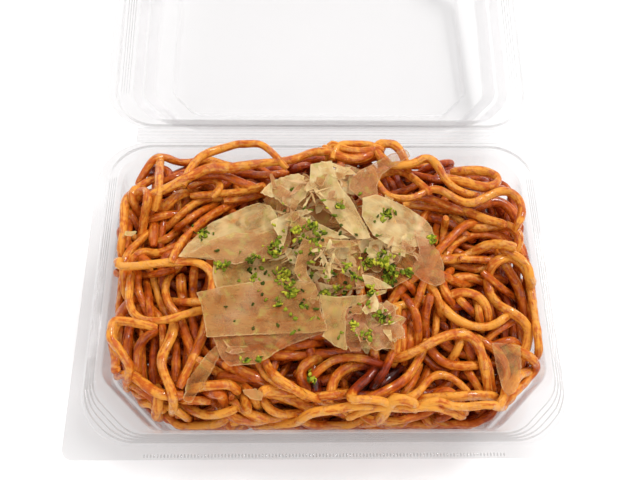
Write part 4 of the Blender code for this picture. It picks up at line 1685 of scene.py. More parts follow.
@dataclass
class StrandSettler:
    """Lets laid strands settle: they keep their length, push each other apart and stay inside."""

    layer: StrandLayer
    rounds: int = 160
    apart: float = 3.3
    tightest: float = 4.6  # the smallest radius that a strand bends to
    grip: float = 0.35  # how firmly a face strand keeps its line of sight
    fall: float = 0.12
    ceiling: float = 49.5
    clear: float = 1.5  # how far from the walls the strands stay, in radii
    ironing: int = 3  # how many times the settled strands' small kinks are smoothed
    passes: int = 2  # how many times a round the beads are moved
    search_every: int = 6  # rounds
    search_margin: float = 1.6  # how much further apart than touching the found beads may be
    least_fall: float = 0.01
    haste: float = 1.3  # how much of a push each of the beads that cause it takes up
    stiffness: float = 0.03  # how much a strand straightens where it bends no tighter than it may
    stand_grip: float = 0.4  # how firmly a standing strand keeps its height
    floor_share: float = 0.95  # of a radius, how far above the floor the beads stay

    def pairs(self, points: Array, strand: Array, bead: Array, reach: float) -> tuple[Array, Array]:
        """Finds beads that are near each other.

        Args:
            points: the beads' places.
            strand: the number of each bead's strand.
            bead: each bead's number along its strand.
            reach: how near counts.

        Returns:
            The numbers of the first and of the second bead of each pair.
        """
        cell = np.floor((points - points.min(0)) / reach).astype(np.int64) + 1
        wide = cell.max(0) + 2
        key = (cell[:, 0] * wide[1] + cell[:, 1]) * wide[2] + cell[:, 2]
        order = np.argsort(key, kind="stable")
        ranked = key[order]
        span = (-1, 0, 1)
        steps = [(i, j, k) for i in span for j in span for k in span if (i, j, k) >= (0, 0, 0)]
        found = []
        for i, j, k in steps:
            near = key + (i * wide[1] + j) * wide[2] + k
            low, high = np.searchsorted(ranked, near, "left"), np.searchsorted(ranked, near, "right")
            count = high - low
            first = np.repeat(np.arange(len(points)), count)
            begin = np.repeat(low - np.r_[0, np.cumsum(count)[:-1]], count)
            second = order[begin + np.arange(len(first))]
            keep = (first < second) | ((i, j, k) != (0, 0, 0))
            keep &= (strand[first] != strand[second]) | (np.abs(bead[first] - bead[second]) > 2)
            first, second = first[keep], second[keep]
            close = ((points[first] - points[second]) ** 2).sum(1) < reach * reach
            found.append((first[close], second[close]))
        return tuple(np.concatenate(side) for side in zip(*found))

    def push_apart(self, points: Array, first: Array, second: Array) -> None:
        """Moves beads that overlap apart, in place."""
        apart = points[first] - points[second]
        gap = np.sqrt((apart * apart).sum(1)) + TINY
        touch = gap < self.apart
        first, second, apart, gap = first[touch], second[touch], apart[touch], gap[touch]
        push = ((self.apart - gap) / gap * 0.5)[:, None] * apart
        count = len(points)
        met = np.bincount(first, minlength=count) + np.bincount(second, minlength=count)
        share = self.haste / np.maximum(met, 1.6)
        for axis in range(3):
            move = np.bincount(first, push[:, axis], count) - np.bincount(second, push[:, axis], count)
            points[:, axis] += move * share

    def keep_out_of_core(self, points: Array) -> None:
        """Moves beads out of the core through its nearest face, in place."""
        layer = self.layer
        x, y, z = points.T
        clear = layer.radius
        up = layer.core_top(x, y) + clear - z
        down = z - layer.core_base + clear
        out = layer.cavity.inset(x, y) - layer.core_inset + clear
        within = (up > 0) & (down > 0) & (out > 0)
        least = np.minimum(np.minimum(up, down), out)
        points[:, 2] += np.where(within & (up == least), up, 0)
        points[:, 2] -= np.where(within & (down == least), down, 0)
        sideways = np.where(within & (out == least), out, 0)
        nearest = np.argmin(layer.cavity.from_sides(x, y), 0)
        points[:, 0] += np.where(nearest == 0, np.sign(x) * sideways, 0)
        points[:, 1] += np.where(nearest == 1, -sideways, 0) + np.where(nearest == 2, sideways, 0)

    @staticmethod
    def keep_lengths(points: Array, bead: Array, link: Array, length: Array) -> None:
        """Moves neighbouring beads of a strand back to their distance, in place.

        Args:
            points: the beads' places.
            bead: each bead's number along its strand.
            link: the first bead of each pair of neighbours.
            length: the distance that each pair keeps.
        """
        for parity in (0, 1):
            pick = bead[link] % 2 == parity
            a, wanted = link[pick], length[pick]
            along = points[a + 1] - points[a]
            now = np.linalg.norm(along, axis=1) + TINY
            mend = (0.5 * (now - wanted) / now)[:, None] * along
            points[a] += mend
            points[a + 1] -= mend

    def straighten(self, points: Array, span: Array) -> None:
        """Opens bends that are too tight, and all others a little, in place.

        Args:
            points: the beads' places.
            span: the first bead of each three that follow each other.
        """
        bulge = self.layer.bead**2 / 2 / self.tightest
        bow = 0.5 * (points[span] + points[span + 2]) - points[span + 1]
        size = np.linalg.norm(bow, axis=1)
        share = np.clip((size - bulge) / np.maximum(size, TINY), 0, 1) * 0.5 + self.stiffness
        flatten = bow * share[:, None] * 0.5
        move = np.zeros_like(points)
        move[span + 1] += flatten
        move[span] -= flatten * 0.5
        move[span + 2] -= flatten * 0.5
        points += move

    def stay_inside(self, points: Array) -> None:
        """Moves beads back inside the pack and out of the core, in place."""
        layer = self.layer
        layer.cavity.confine(points, layer.radius)
        floor = layer.cavity.floor(points[:, 0], points[:, 1]) + layer.radius * self.floor_share
        points[:, 2] = np.clip(points[:, 2], floor, self.ceiling)
        self.keep_out_of_core(points)

    def settle(self, strands: list[Strand]) -> None:
        """Runs the settling and writes the strands' new paths into them."""
        points = np.vstack([strand.path for strand in strands])
        counts = [len(strand.path) for strand in strands]
        number = np.repeat(np.arange(len(strands)), counts)
        bead = np.concatenate([np.arange(count) for count in counts])
        link = np.nonzero(number[1:] == number[:-1])[0]
        span = np.nonzero(number[2:] == number[:-2])[0]
        length = np.linalg.norm(points[link + 1] - points[link], axis=1)
        seen = np.repeat([strand.layer is Layer.FACE for strand in strands], counts)
        stands = np.repeat([strand.stands for strand in strands], counts)
        stand_at = np.minimum(points[stands, 2], self.ceiling - 1)
        laid = points[seen].copy()
        first = second = np.zeros(0, int)
        for turn in range(self.rounds):
            points[:, 2] -= self.fall * (1 - turn / self.rounds) ** 0.7 + self.least_fall
            if turn % self.search_every == 0:
                first, second = self.pairs(points, number, bead, self.apart + self.search_margin)
            for _ in range(self.passes):
                self.push_apart(points, first, second)
                self.keep_lengths(points, bead, link, length)
                self.straighten(points, span)
                self.stay_inside(points)
                points[stands, 2] += (stand_at - points[stands, 2]) * self.stand_grip
                sight = VIEW.lifted(laid[:, :2], laid[:, 2], points[seen, 2])
                points[seen, :2] += (sight - points[seen, :2]) * self.grip
        ends = np.cumsum(counts)
        for strand, path in zip(strands, np.split(points, ends[:-1])):
            for _ in range(self.ironing):
                path[1:-1] = 0.25 * path[:-2] + 0.5 * path[1:-1] + 0.25 * path[2:]
            self.layer.cavity.confine(path, self.layer.radius * self.clear)
            strand.path = path


@dataclass
class NoodleHeap:
    """The noodles: real strands over a dark core, whose colour is painted shade."""

    layer: StrandLayer = field(default_factory=StrandLayer)
    ring_spacing: float = 1.1
    sides: int = 10
    girth_wander: float = 0.12
    deepening: float = 0.45  # painted shade, with some sauce soak: how much deeper in colour the lower strands are
    hollow_shade: float = 1.5  # painted shade: how much deeper in colour the strands in the dark hollows are
    flatness: float = 0.86
    run: float = 900.0  # the strands lie this far apart, at most, in the streaks' pattern
    coarser: float = 1.6  # how much further apart a line's points are than the rings swept on it
    tip: float = 0.72  # the thickness of a strand's ends
    under_at: float = 9.0  # how far below the heap's face a strand has its full painted shade
    under_inset: tuple[float, float] = (11.0, 18.0)  # strands nearer the walls stay light, without that painted shade
    front_dry: float = 0.6  # how much lighter the front rows are
    front_at: tuple[float, float] = (-43.0, -50.0)  # where along y that starts and is complete
    core_gap: float = 0.5
    core_rings: int = 14
    core_bumps: float = 0.9
    strands: list[Strand] = field(default_factory=list)

    def settle(self) -> None:
        """Lays the strands and lets them settle."""
        self.strands = self.layer.strands()
        StrandSettler(self.layer).settle(self.strands)
        log.info("noodles: %d strands", len(self.strands))

    def recipe(self, skin: bpy.types.Material) -> ShapeRecipe:
        """The Geometry Nodes tree that turns lines into noodles."""
        write = ShapeRecipe("noodle_sweep")
        radius, spacing = write.size("Noodle Radius"), write.size("Ring Spacing")
        flatness, sides = write.size("Flatness"), write.size("Sides", whole=True)
        lines = write.node("GeometryNodeMeshToCurve", values={"Mesh": write.geometry})
        smooth = write.node(
            "GeometryNodeCurveSplineType", {"spline_type": "CATMULL_ROM"}, {"Curve": lines.outputs[0]}
        )
        even = write.node(
            "GeometryNodeResampleCurve",
            {"mode": "LENGTH"},
            {"Curve": smooth.outputs[0], "Length": spacing},
        )
        twisted = write.node(
            "GeometryNodeSetCurveTilt", values={"Curve": even.outputs[0], "Tilt": write.stored("twist")}
        )
        circle = write.node(
            "GeometryNodeCurvePrimitiveCircle", values={"Resolution": sides, "Radius": radius}
        )
        where = write.node("GeometryNodeInputPosition")
        marked = write.node(
            "GeometryNodeStoreNamedAttribute",
            {"data_type": "FLOAT_VECTOR", "domain": "POINT"},
            {"Geometry": circle.outputs[0], "Name": "side", "Value": where.outputs[0]},
        )
        squash = write.node("ShaderNodeCombineXYZ", values={0: 1.0, 1: flatness, 2: 1.0})
        section = write.node(
            "GeometryNodeTransform", values={"Geometry": marked.outputs[0], "Scale": squash.outputs[0]}
        )
        swept = write.node(
            "GeometryNodeCurveToMesh",
            values={
                "Curve": twisted.outputs[0],
                "Profile Curve": section.outputs[0],
                "Scale": write.stored("girth"),
                "Fill Caps": True,
            },
        )
        smooth_skin = write.node("GeometryNodeSetShadeSmooth", values={"Geometry": swept.outputs[0]})
        write.close(smooth_skin.outputs[0], skin)
        return write

    def heights(self, cell: float = 0.5, spacing: float = 1.0) -> HeightField:
        """The heights of the settled heap, for what is laid on it."""
        cover = HeightField(cell, self.layer.ground)
        for strand in self.strands:
            cover.stamp(smooth_path(strand.path, spacing), self.layer.radius)
        return cover

    @staticmethod
    def in_hollow_shade(path: Array) -> Array:
        """How far the points of a strand lie in the painted shade of a dark hollow, from 0 to 1."""
        flat = VIEW.lifted(path[:, :2], path[:, 2], READ_LEVEL)
        away = [np.hypot(flat[:, 0] - x, flat[:, 1] - y) / width for x, y, width in HOLLOW_SHADES]
        return 1 - smooth_step(0.6, 1.4, np.min(away, 0))

    def colour_depth(self, strand: Strand, path: Array) -> Array:
        """How deep a strand's colour is at each point, apart from its own small changes: its tone, with
        painted shade below the heap's face and in the dark hollows.

        Args:
            strand: the strand.
            path: its points at a fine spacing.

        Returns:
            The depth of colour, where 0 is plain and 1 is soaked, painted shade included.
        """
        x, y, z = path.T
        depth = self.layer.form.face(x, y) - z
        inwards = smooth_step(*self.under_inset, self.layer.cavity.inset(x, y))
        # painted shade, with some sauce soak: darker the further below the heap's face
        deep = smooth_step(0.0, self.under_at, depth) * self.deepening * inwards
        # painted shade of the dark hollows
        deep = deep + self.hollow_shade * self.in_hollow_shade(path)
        return strand.tone * (1 - self.front_dry * smooth_step(*self.front_at, y)) + deep

    def sweep(self, name: str, strands: list[Strand], recipe: ShapeRecipe) -> bpy.types.Object:
        """Makes one piece of several strands.

        Args:
            name: the piece's name.
            strands: what it holds.
            recipe: the tree that gives them their thickness.

        Returns:
            The piece.
        """
        rng = np.random.default_rng(len(strands))
        points, edges, girth, tone, twist, along = [], [], [], [], [], []
        for strand in strands:
            path = smooth_path(strand.path, self.ring_spacing * self.coarser)
            count, start = len(path), len(points)
            points += path.tolist()
            edges += [(start + i, start + i + 1) for i in range(count - 1)]
            wave = np.cumsum(rng.normal(size=count) * 0.5)
            wave = np.sin(wave * 0.8 + rng.random() * ANY_PHASE)
            width = 1 + self.girth_wander * wave + rng.normal() * 0.03
            width[[0, -1]] *= self.tip
            girth += width.tolist()
            step = np.arange(count)
            own = 0.08 * np.sin(step * 0.2 + rng.random() * ANY_PHASE)
            # the tone that the finish reads carries the painted shade too
            tone += (self.colour_depth(strand, path) + own).tolist()
            twist += (rng.random() * ANY_PHASE + np.cumsum(rng.normal(size=count)) * 0.12).tolist()
            reached = step * self.ring_spacing * self.coarser + rng.random() * self.run
            along += (reached * MM).tolist()
        piece = new_piece(name, points, edges=edges)
        told = {"girth": girth, "tone": tone, "twist": twist, "along": along}
        for label, values in told.items():
            piece.data.attributes.new(label, "FLOAT", "POINT").data.foreach_set("value", values)
        recipe.grow(
            piece,
            {
                "Noodle Radius": self.layer.radius * MM,
                "Ring Spacing": self.ring_spacing * MM,
                "Flatness": self.flatness,
                "Sides": self.sides,
            },
        )
        return piece

    def core(self, skin: bpy.types.Material) -> bpy.types.Object:
        """Makes the core, well inside the strands."""
        layer = self.layer
        inset = layer.core_inset + self.core_gap
        ring = outline(Row(inset, 0, CORE_CORNER, CORE_CORNER, layer.cavity.back_slack))
        rings = [np.c_[ring, np.full(len(ring), layer.core_base)]]
        for share in np.linspace(1, 0.08, self.core_rings):
            x, y = ring[:, 0] * share, ring[:, 1] * share
            bumps = self.core_bumps * np.sin(x / 2.1 + 2 * np.sin(y / 5)) * np.cos(y / 2.6)
            rings.append(np.c_[x, y, layer.core_top(x, y) - 0.6 + bumps])
        around = len(ring)
        faces: list[tuple[int, ...]] = list(bridged(len(rings), around))
        faces.append(tuple(reversed(range(around))))
        faces.append(tuple(range(around * (len(rings) - 1), around * len(rings))))
        piece = new_piece("noodle_core_painted_shade", np.vstack(rings), faces, skin=skin)
        shade(piece, FOLD_ANGLE)
        return piece

    def build(self, skin: bpy.types.Material, dark: bpy.types.Material) -> None:
        """Makes every piece of the heap."""
        recipe = self.recipe(skin)
        under = [strand for strand in self.strands if strand.layer is not Layer.FACE]
        face = [strand for strand in self.strands if strand.layer is Layer.FACE]
        reached = np.cumsum([len(strand.path) for strand in under])
        first, second = np.searchsorted(reached, reached[-1] * np.array([1 / 3, 2 / 3]))
        groups = {
            "noodles_low": under[:first],
            "noodles_middle": under[first:second],
            "noodles_high": under[second:],
            "noodles_face": face,
        }
        pieces = [self.sweep(name, group, recipe) for name, group in groups.items()]
        pieces.append(self.core(dark))
        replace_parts(pieces[0], "noodles")
        for piece in pieces:
            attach(piece, "base")
            tell(piece)


# ---------------------------------------------------------------------------------------------
# Bonito shavings
# ---------------------------------------------------------------------------------------------

TOP_LEVEL = 42.0


@dataclass(frozen=True)
class ShavingShape:
    """One large shaving.

    Its name, its tone, its outline as it looks on the plane at TOP_LEVEL from the main view, its
    fibres' direction, the edge that curls up (the direction it faces, in degrees, and its height),
    how torn its edge is, how deep its waves and its creases are, and whether the part has a node
    for it, which then has the same name.
    """

    name: str
    tone: ShavingTone
    outline: tuple[Place, ...]
    grain: float = 0.0
    curl_to: float = 0.0
    curl: float = 0.0
    ragged: float = 0.12
    wave: float = 0.35
    crease: float = 0.0
    has_node: bool = True


PALE, TAN, ROSE, GAUZE, OLIVE = ShavingTone

# From the lowest up. The first group lies under the small shavings, the second over them.
UNDER_SHAVINGS = (
    ShavingShape("flake_left_corner", GAUZE, (
        (-48, -48), (-45.4, -49), (-42, -43), (-38, -36), (-34, -29), (-37, -28), (-41, -32), (-45, -37),
        (-47, -42),
    ), 60, ragged=0.3, crease=0.5),
    ShavingShape("flake_right_corner", GAUZE, (
        (58, -28), (63, -28), (68, -29), (67.4, -36), (65.8, -43), (63, -49), (60, -45), (58.6, -38),
    ), -82),
    ShavingShape("flake_front_under", ROSE, (
        (-41, -20), (0, -20), (0.4, -23.6), (-5, -25.6), (-12, -28.4), (-17, -31), (-20, -33.6),
        (-24, -35.4), (-33, -36.4), (-36, -33), (-38, -29), (-39.6, -25),
    ), 4, -90, 0.5),
    ShavingShape("shaving_base_middle", GAUZE, (
        (-21, 24), (-8, 26), (6, 24), (14, 18), (17, 8), (13, -6), (5, -9.5), (-4, -9), (-12, -4), (-20, 2),
    ), 20, has_node=False),
    ShavingShape("shaving_base_back", TAN, (
        (-23, 30), (-16, 36), (-8, 40), (2, 42), (9, 36), (13, 26), (8, 18), (-8, 18), (-20, 22),
    ), 70, has_node=False),
    ShavingShape("shaving_base_right", GAUZE, (
        (11, 28), (22, 24), (33, 14), (36, 4), (31, -3), (24, -7), (13, -6), (9, 6),
    ), -30, has_node=False),
    ShavingShape("shaving_veil_back", GAUZE, (
        (3.6, 46.8), (10, 45.6), (15.5, 43), (14, 39.6), (9, 39), (5, 42),
    ), 10, has_node=False),
    ShavingShape("flake_left_low", OLIVE, (
        (-40.5, 6), (-30, 7), (-17, 6.4), (-10, 2), (-9, -6), (-20, -9), (-38, -9.5), (-40.5, -2),
    ), 2),
)

OVER_SHAVINGS = (
    ShavingShape("cabbage_shred_left", PALE, (
        (-73.9, 14.6), (-71.5, 14.0), (-69.6, 15.2), (-69.4, 16.6), (-71.8, 16.2), (-73.6, 16.6),
    ), 0, has_node=False),
    ShavingShape("cabbage_shred_front", TAN, (
        (-28.6, -44.6), (-24, -44.4), (-21.4, -46), (-22, -48.4), (-25.4, -48), (-28, -46.4),
    ), 0, has_node=False),
    ShavingShape("flake_left_pale", PALE, (
        (-53.4, 5.8), (-50.6, 10.4), (-46.2, 16), (-41.6, 20.4), (-36, 23.6), (-30, 26.6), (-24.6, 28.4),
        (-20, 27.4), (-17.4, 23), (-17.6, 14), (-24, 8), (-34, 4.6), (-41, 4.4), (-47, 5.4),
    ), 28, 125, 0.6, crease=0.4),
    ShavingShape("flake_left_tan", TAN, (
        (-52, 5.6), (-47, 8.8), (-41, 13.2), (-33, 16), (-24, 15.4), (-17, 18), (-13, 20.6), (-12.4, 12),
        (-14.8, 7.4), (-19, 5), (-25, 4.8), (-32, 2.9), (-38.6, 3), (-41.4, 5.3),
    ), 14, -100, 0.3),
    ShavingShape("shaving_fold_left", PALE, (
        (-20, 20.6), (-14, 24), (-7, 26), (-4, 25), (-9, 22.6), (-13, 20.8), (-14, 14), (-15.6, 7.6),
        (-18, 8.6), (-17, 14),
    ), 70, 160, 0.8, crease=0.4, has_node=False),
    ShavingShape("flake_back_left", PALE, (
        (-24, 33), (-21, 37), (-17.6, 39.6), (-12, 41.2), (-6.6, 41), (-5, 36), (-7, 31), (-11, 27.4),
        (-16, 28), (-18.6, 31),
    ), 60, 150, 1.2, ragged=0.45, wave=0.6, crease=0.7),
    ShavingShape("flake_back_right", ROSE, (
        (9.6, 35), (9.8, 39.6), (14, 43), (20, 46.6), (27, 51), (32.4, 53), (34, 50), (28.4, 46),
        (22.4, 41.4), (20.6, 37), (21, 31), (15, 29.4),
    ), 38, 60, 1.0),
    ShavingShape("flake_right_pale", PALE, (
        (14.6, 31), (20, 32.2), (27, 29.4), (33, 25.6), (38, 21.6), (40.2, 18), (41, 13.6), (37.6, 10.4),
        (30, 9.4), (23, 11), (18, 15), (14.4, 23),
    ), -34, 40, 0.8, wave=0.5, crease=0.5),
    ShavingShape("flake_right_pink", ROSE, (
        (34, 15), (39, 13), (42, 8), (43.6, 2), (43.6, -4.6), (40, -6), (35, -4), (31, 0), (33.4, 4),
        (35, 8),
    ), -78, 0, 0.6),
    ShavingShape("flake_back_tall", PALE, (
        (-5, 46), (3.4, 48), (4.6, 41), (7, 35), (10, 31), (13, 24.4), (15.4, 19), (17.4, 13.4), (12, 13),
        (7, 18), (1.6, 26), (-3, 32.4), (-5.4, 38.4),
    ), -66, 150, 1.2, wave=0.6, crease=0.9),
    ShavingShape("shaving_fold_middle", PALE, (
        (-7, 22.4), (-2, 19.4), (3, 16.8), (9.6, 13.4), (4.4, 13.2), (-2, 15.2), (-6, 18.6),
    ), -34, 60, 1.4, crease=0.4, has_node=False),
    ShavingShape("flake_middle", TAN, (
        (-8, 13.8), (-6.4, 12.8), (0, 12.8), (9.8, 12.6), (13, 11), (9, 9.4), (1, 9.4), (-2.4, 8),
        (-4.8, 4.4), (-6.6, 2.6), (-6.6, -1), (-4.2, -5), (-9, -4), (-11.4, 0), (-9.8, 7),
    ), 30, 90, 0.8, crease=0.2),
    ShavingShape("shaving_strip_right", GAUZE, (
        (9.4, 12.6), (13.4, 12.8), (13.2, 4), (14.8, -5.4), (11, -6), (9.6, 0), (8.6, 7),
    ), 88, 0, 0.6, has_node=False),
    ShavingShape("shaving_shred_right", PALE, (
        (13.4, -1.4), (17, -2), (22, -5), (24.4, -6.8), (19, -7.4), (14.8, -6),
    ), -24, 60, 0.5, crease=0.3, has_node=False),
    ShavingShape("flake_front_right", ROSE, (
        (6, -16), (11, -13.6), (14, -15), (20, -12), (25.6, -14), (24, -17), (28.6, -19), (26, -22),
        (27, -26), (23, -27), (24, -30), (18, -31.4), (15, -28.6), (10, -31), (6.8, -28),
    ), -12, -60, 0.5, ragged=0.5, wave=0.5, crease=0.6),
    ShavingShape("flake_front_narrow", OLIVE, (
        (-2.4, -9), (4, -10.4), (13, -9.6), (22.4, -7.2), (22, -8.8), (14, -12), (8.2, -14.6), (6.8, -18),
        (6.8, -24), (7.4, -30.6), (3, -29), (-1.4, -25.4), (0.2, -22), (-1.6, -15),
    ), 80, -70, 0.5),
    ShavingShape("flake_front_large", TAN, (
        (-46, -8.5), (-38, -6.6), (-31, -5.2), (-24, -4), (-16, -3.4), (-10, -4.4), (-3.6, -4.6),
        (-2.4, -9), (-1.4, -16), (0.6, -23.4), (-6, -24.2), (-14, -24.2), (-21, -24.6), (-30, -25),
        (-41.6, -25.6), (-42.4, -20), (-43.8, -14),
    ), 3, -90, 0.4),
)


TEAR_STEP = 0.9  # the spacing of a torn outline's points
EVEN_ROWS = 0.87  # the spacing of the rows of points that even triangles have, in sides
CREASE_SPANS = (13.0, 7.0, 4.2)  # how far apart the large, middle and small folds are
CREASE_SUM = 1.86  # what the folds add up to, in the height of the large ones
RIM_WIDTH = 0.8
TRIANGLE = 1.0  # the size of a sheet's triangles


def turned_axes(flat: Array, turn: float) -> tuple[Array, Array]:
    """How far flat places lie along a direction, which is in radians, and across it."""
    along = flat @ np.array([math.cos(turn), math.sin(turn)])
    return along, flat @ np.array([-math.sin(turn), math.cos(turn)])


def ragged(outline_: Array, depth: float, rng: np.random.Generator) -> Array:
    """Tears an outline a little.

    Args:
        outline_: its corners.
        depth: how far the tears reach.
        rng: the source of their shapes.

    Returns:
        The outline at a fine spacing.
    """
    corners = np.vstack([outline_, outline_[:1]])
    along = np.r_[0, np.cumsum(np.linalg.norm(np.diff(corners, axis=0), axis=1))]
    count = int(along[-1] / TEAR_STEP)
    stops = np.arange(count) * along[-1] / count
    fine = np.stack([np.interp(stops, along, corners[:, k]) for k in (0, 1)], 1)
    outward = np.roll(fine, -1, 0) - np.roll(fine, 1, 0)
    outward = np.stack([outward[:, 1], -outward[:, 0]], 1)
    outward /= np.linalg.norm(outward, axis=1)[:, None] + TINY
    tear = rng.normal(size=count)
    slow = sum(np.roll(tear, shift) for shift in range(-3, 4)) / 2.6
    return fine + outward * (depth * (0.5 * tear + 0.7 * slow))[:, None]


def filled(ring: Array, spacing: float) -> tuple[Array, list[tuple[int, ...]]]:
    """Fills an outline with even triangles.

    Args:
        ring: the outline's points.
        spacing: the triangles' size.

    Returns:
        The points, the outline's own first, and the triangles.
    """
    low, high = ring.min(0), ring.max(0)
    ys = np.arange(low[1], high[1], spacing * EVEN_ROWS)
    inner = [
        (x + (row % 2) * spacing / 2, y)
        for row, y in enumerate(ys)
        for x in np.arange(low[0], high[0], spacing)
    ]
    grid = np.array(inner)
    far = np.min(np.linalg.norm(grid[:, None] - ring[None], axis=2), 1) > spacing * 0.6
    points = [Vector(map(float, point)) for point in np.vstack([ring, grid[far]])]
    edges = [(i, (i + 1) % len(ring)) for i in range(len(ring))]
    verts, _, faces, *_ = delaunay_2d_cdt(points, edges, [], 1, 1e-4)
    up = [face if is_left_turn(verts, face) else face[::-1] for face in faces]
    return np.array([tuple(vert) for vert in verts]), [tuple(face) for face in up]


def is_left_turn(points: Sequence[Vector], face: Sequence[int]) -> bool:
    """Whether a flat triangle runs counter-clockwise."""
    a, b, c = (points[i] for i in face[:3])
    return (b - a).cross(c - a) > 0


def creases(flat: Array, rng: np.random.Generator) -> Array:
    """Heights of a crumpled sheet, from -1 to 1: sharp folds that cross each other."""
    height = np.zeros(len(flat))
    for span in CREASE_SPANS:
        along, across = turned_axes(flat, rng.random() * math.pi)
        phase = along / span + 0.15 * np.sin(across / span * 2) + rng.random()
        height += (2 * np.abs(2 * (phase % 1) - 1) - 1) * span / CREASE_SPANS[0]
    return height / CREASE_SUM


def rim_of(flat: Array, ring: Array) -> Array:
    """1 at a sheet's outline, falling to 0 a little inside it."""
    away = np.min(np.linalg.norm(flat[:, None] - ring[None], axis=2), 1)
    return np.clip(1 - away / RIM_WIDTH, 0, 1)


@dataclass
class SheetMesh:
    """A sheet's mesh before it has a thickness: points, faces, flat places and rim."""

    points: Array
    faces: list[tuple[int, ...]]
    grain: Array
    rim: Array


def sheet_piece(
    name: str, sheets: Sequence[SheetMesh], wall: float, skin: bpy.types.Material
) -> bpy.types.Object:
    """Makes one piece of several sheets.

    Args:
        name: the piece's name.
        sheets: what it holds.
        wall: the sheets' thickness.
        skin: its material, which reads the UV map "grain" and the attribute "rim".

    Returns:
        The piece.
    """
    starts = np.r_[0, np.cumsum([len(sheet.points) for sheet in sheets])]
    faces = [
        tuple(int(start) + i for i in face) for start, sheet in zip(starts, sheets) for face in sheet.faces
    ]
    piece = new_piece(name, np.vstack([sheet.points for sheet in sheets]), faces, skin=skin)
    layer = piece.data.uv_layers.new(name="grain")
    corners = np.zeros(len(piece.data.loops), np.int32)
    piece.data.loops.foreach_get("vertex_index", corners)
    layer.uv.foreach_set("vector", (np.vstack([sheet.grain for sheet in sheets])[corners] * MM).ravel())
    rim = piece.data.attributes.new("rim", "FLOAT", "POINT")
    rim.data.foreach_set("value", np.concatenate([sheet.rim for sheet in sheets]))
    thicken(piece, wall, 0)
    shade(piece, FOLD_ANGLE)
    return piece


@dataclass
class Blanket:
    """Lays thin sheets over what is in the pack."""

    field_: HeightField
    rng: np.random.Generator = field(default_factory=lambda: np.random.default_rng(11))
    thickness: float = 0.1
    clear: float = 0.3
    stiffness: int = 240
    softening: int = 6
    sag: float = 0.004
    probe: float = 0.9  # how far around a point the heap holds a sheet up
    lid_clear: float = 53.9  # no shaving stands higher
    lid_soft: float = 3.0  # how far below that the heights begin to be pressed down
    wall_clear: float = 1.5

    def under(self, places: Array, reach: float) -> Array:
        """The highest point near each place."""
        offsets, _ = self.field_.ball(reach)
        return self.field_.height[self.field_.cells(places[:, None, :2] + offsets)].max(1)

    def capped(self, z: Array) -> Array:
        """Heights pressed down softly to stay under the lid."""
        soft = self.lid_clear - self.lid_soft
        return np.where(z > soft, soft + self.lid_soft * np.tanh((z - soft) / self.lid_soft), z)

    def drape(self, flat: Array, faces: list[tuple[int, ...]], shape: ShavingShape) -> Array:
        """Lets a flat sheet down onto the heap.

        Args:
            flat: its points, as they look on the plane at TOP_LEVEL.
            faces: its triangles.
            shape: what curls and waves it.

        Returns:
            Its points in space.
        """
        sides = np.array([(face[i], face[(i + 1) % 3]) for face in faces for i in range(3)])
        a, b = np.vstack([sides, sides[:, ::-1]]).T
        count = len(flat)
        degree = np.bincount(a, minlength=count)
        reach, _ = turned_axes(flat, math.radians(shape.curl_to))
        edge = smooth_step(0.6, 1.0, (reach - reach.min()) / (np.ptp(reach) + TINY))
        phase = self.rng.random(2) * ANY_PHASE
        wave = np.sin(flat[:, 0] / 6.1 + phase[0] + 0.8 * np.sin(flat[:, 1] / 7.3 + phase[1]))
        lift = shape.wave * 0.5 * (wave + 1) + shape.curl * edge
        lift += shape.crease * (1 + creases(flat, self.rng))
        z = np.full(count, TOP_LEVEL)
        for _ in range(3):
            least = self.under(VIEW.lifted(flat, TOP_LEVEL, z), self.probe) + self.clear
            z = least.copy()
            for _ in range(self.stiffness):
                mean = np.bincount(a, z[b], count) / degree
                z = np.maximum(mean - self.sag, least)
            for _ in range(self.softening):
                z = np.bincount(a, z[b], count) / degree
            z = self.capped(np.maximum(z, least - 0.5) + lift)
        points = np.c_[VIEW.lifted(flat, TOP_LEVEL, z), z]
        Cavity().confine(points, self.wall_clear)
        return points

    def lay(self, shape: ShavingShape) -> SheetMesh:
        """Lays one large shaving and adds it to the heights."""
        ring = ragged(np.array(shape.outline, float), shape.ragged, self.rng)
        flat, faces = filled(ring, TRIANGLE)
        points = self.drape(flat, faces, shape)
        self.cover(points)
        grain = np.stack(turned_axes(flat, math.radians(shape.grain)), 1)
        return SheetMesh(points, faces, grain, rim_of(flat, ring))

    def cover(self, points: Array) -> None:
        """Raises the heights to a sheet's points."""
        self.field_.stamp(points + (0, 0, self.thickness - self.probe), self.probe)


# Where small shreds lie over the large shavings: the middle, the half widths and how many.
LOOSE_SHREDS: tuple[tuple[Place, Place, int], ...] = (
    ((2.0, 33.0), (9.0, 9.0), 22),
    ((-14.0, 32.0), (6.0, 6.0), 8),
    ((3.0, 4.0), (6.0, 7.0), 16),
    ((24.0, 6.0), (9.0, 8.0), 12),
    ((17.0, -21.0), (8.0, 7.0), 14),
    ((-12.0, 18.0), (6.0, 6.0), 8),
)


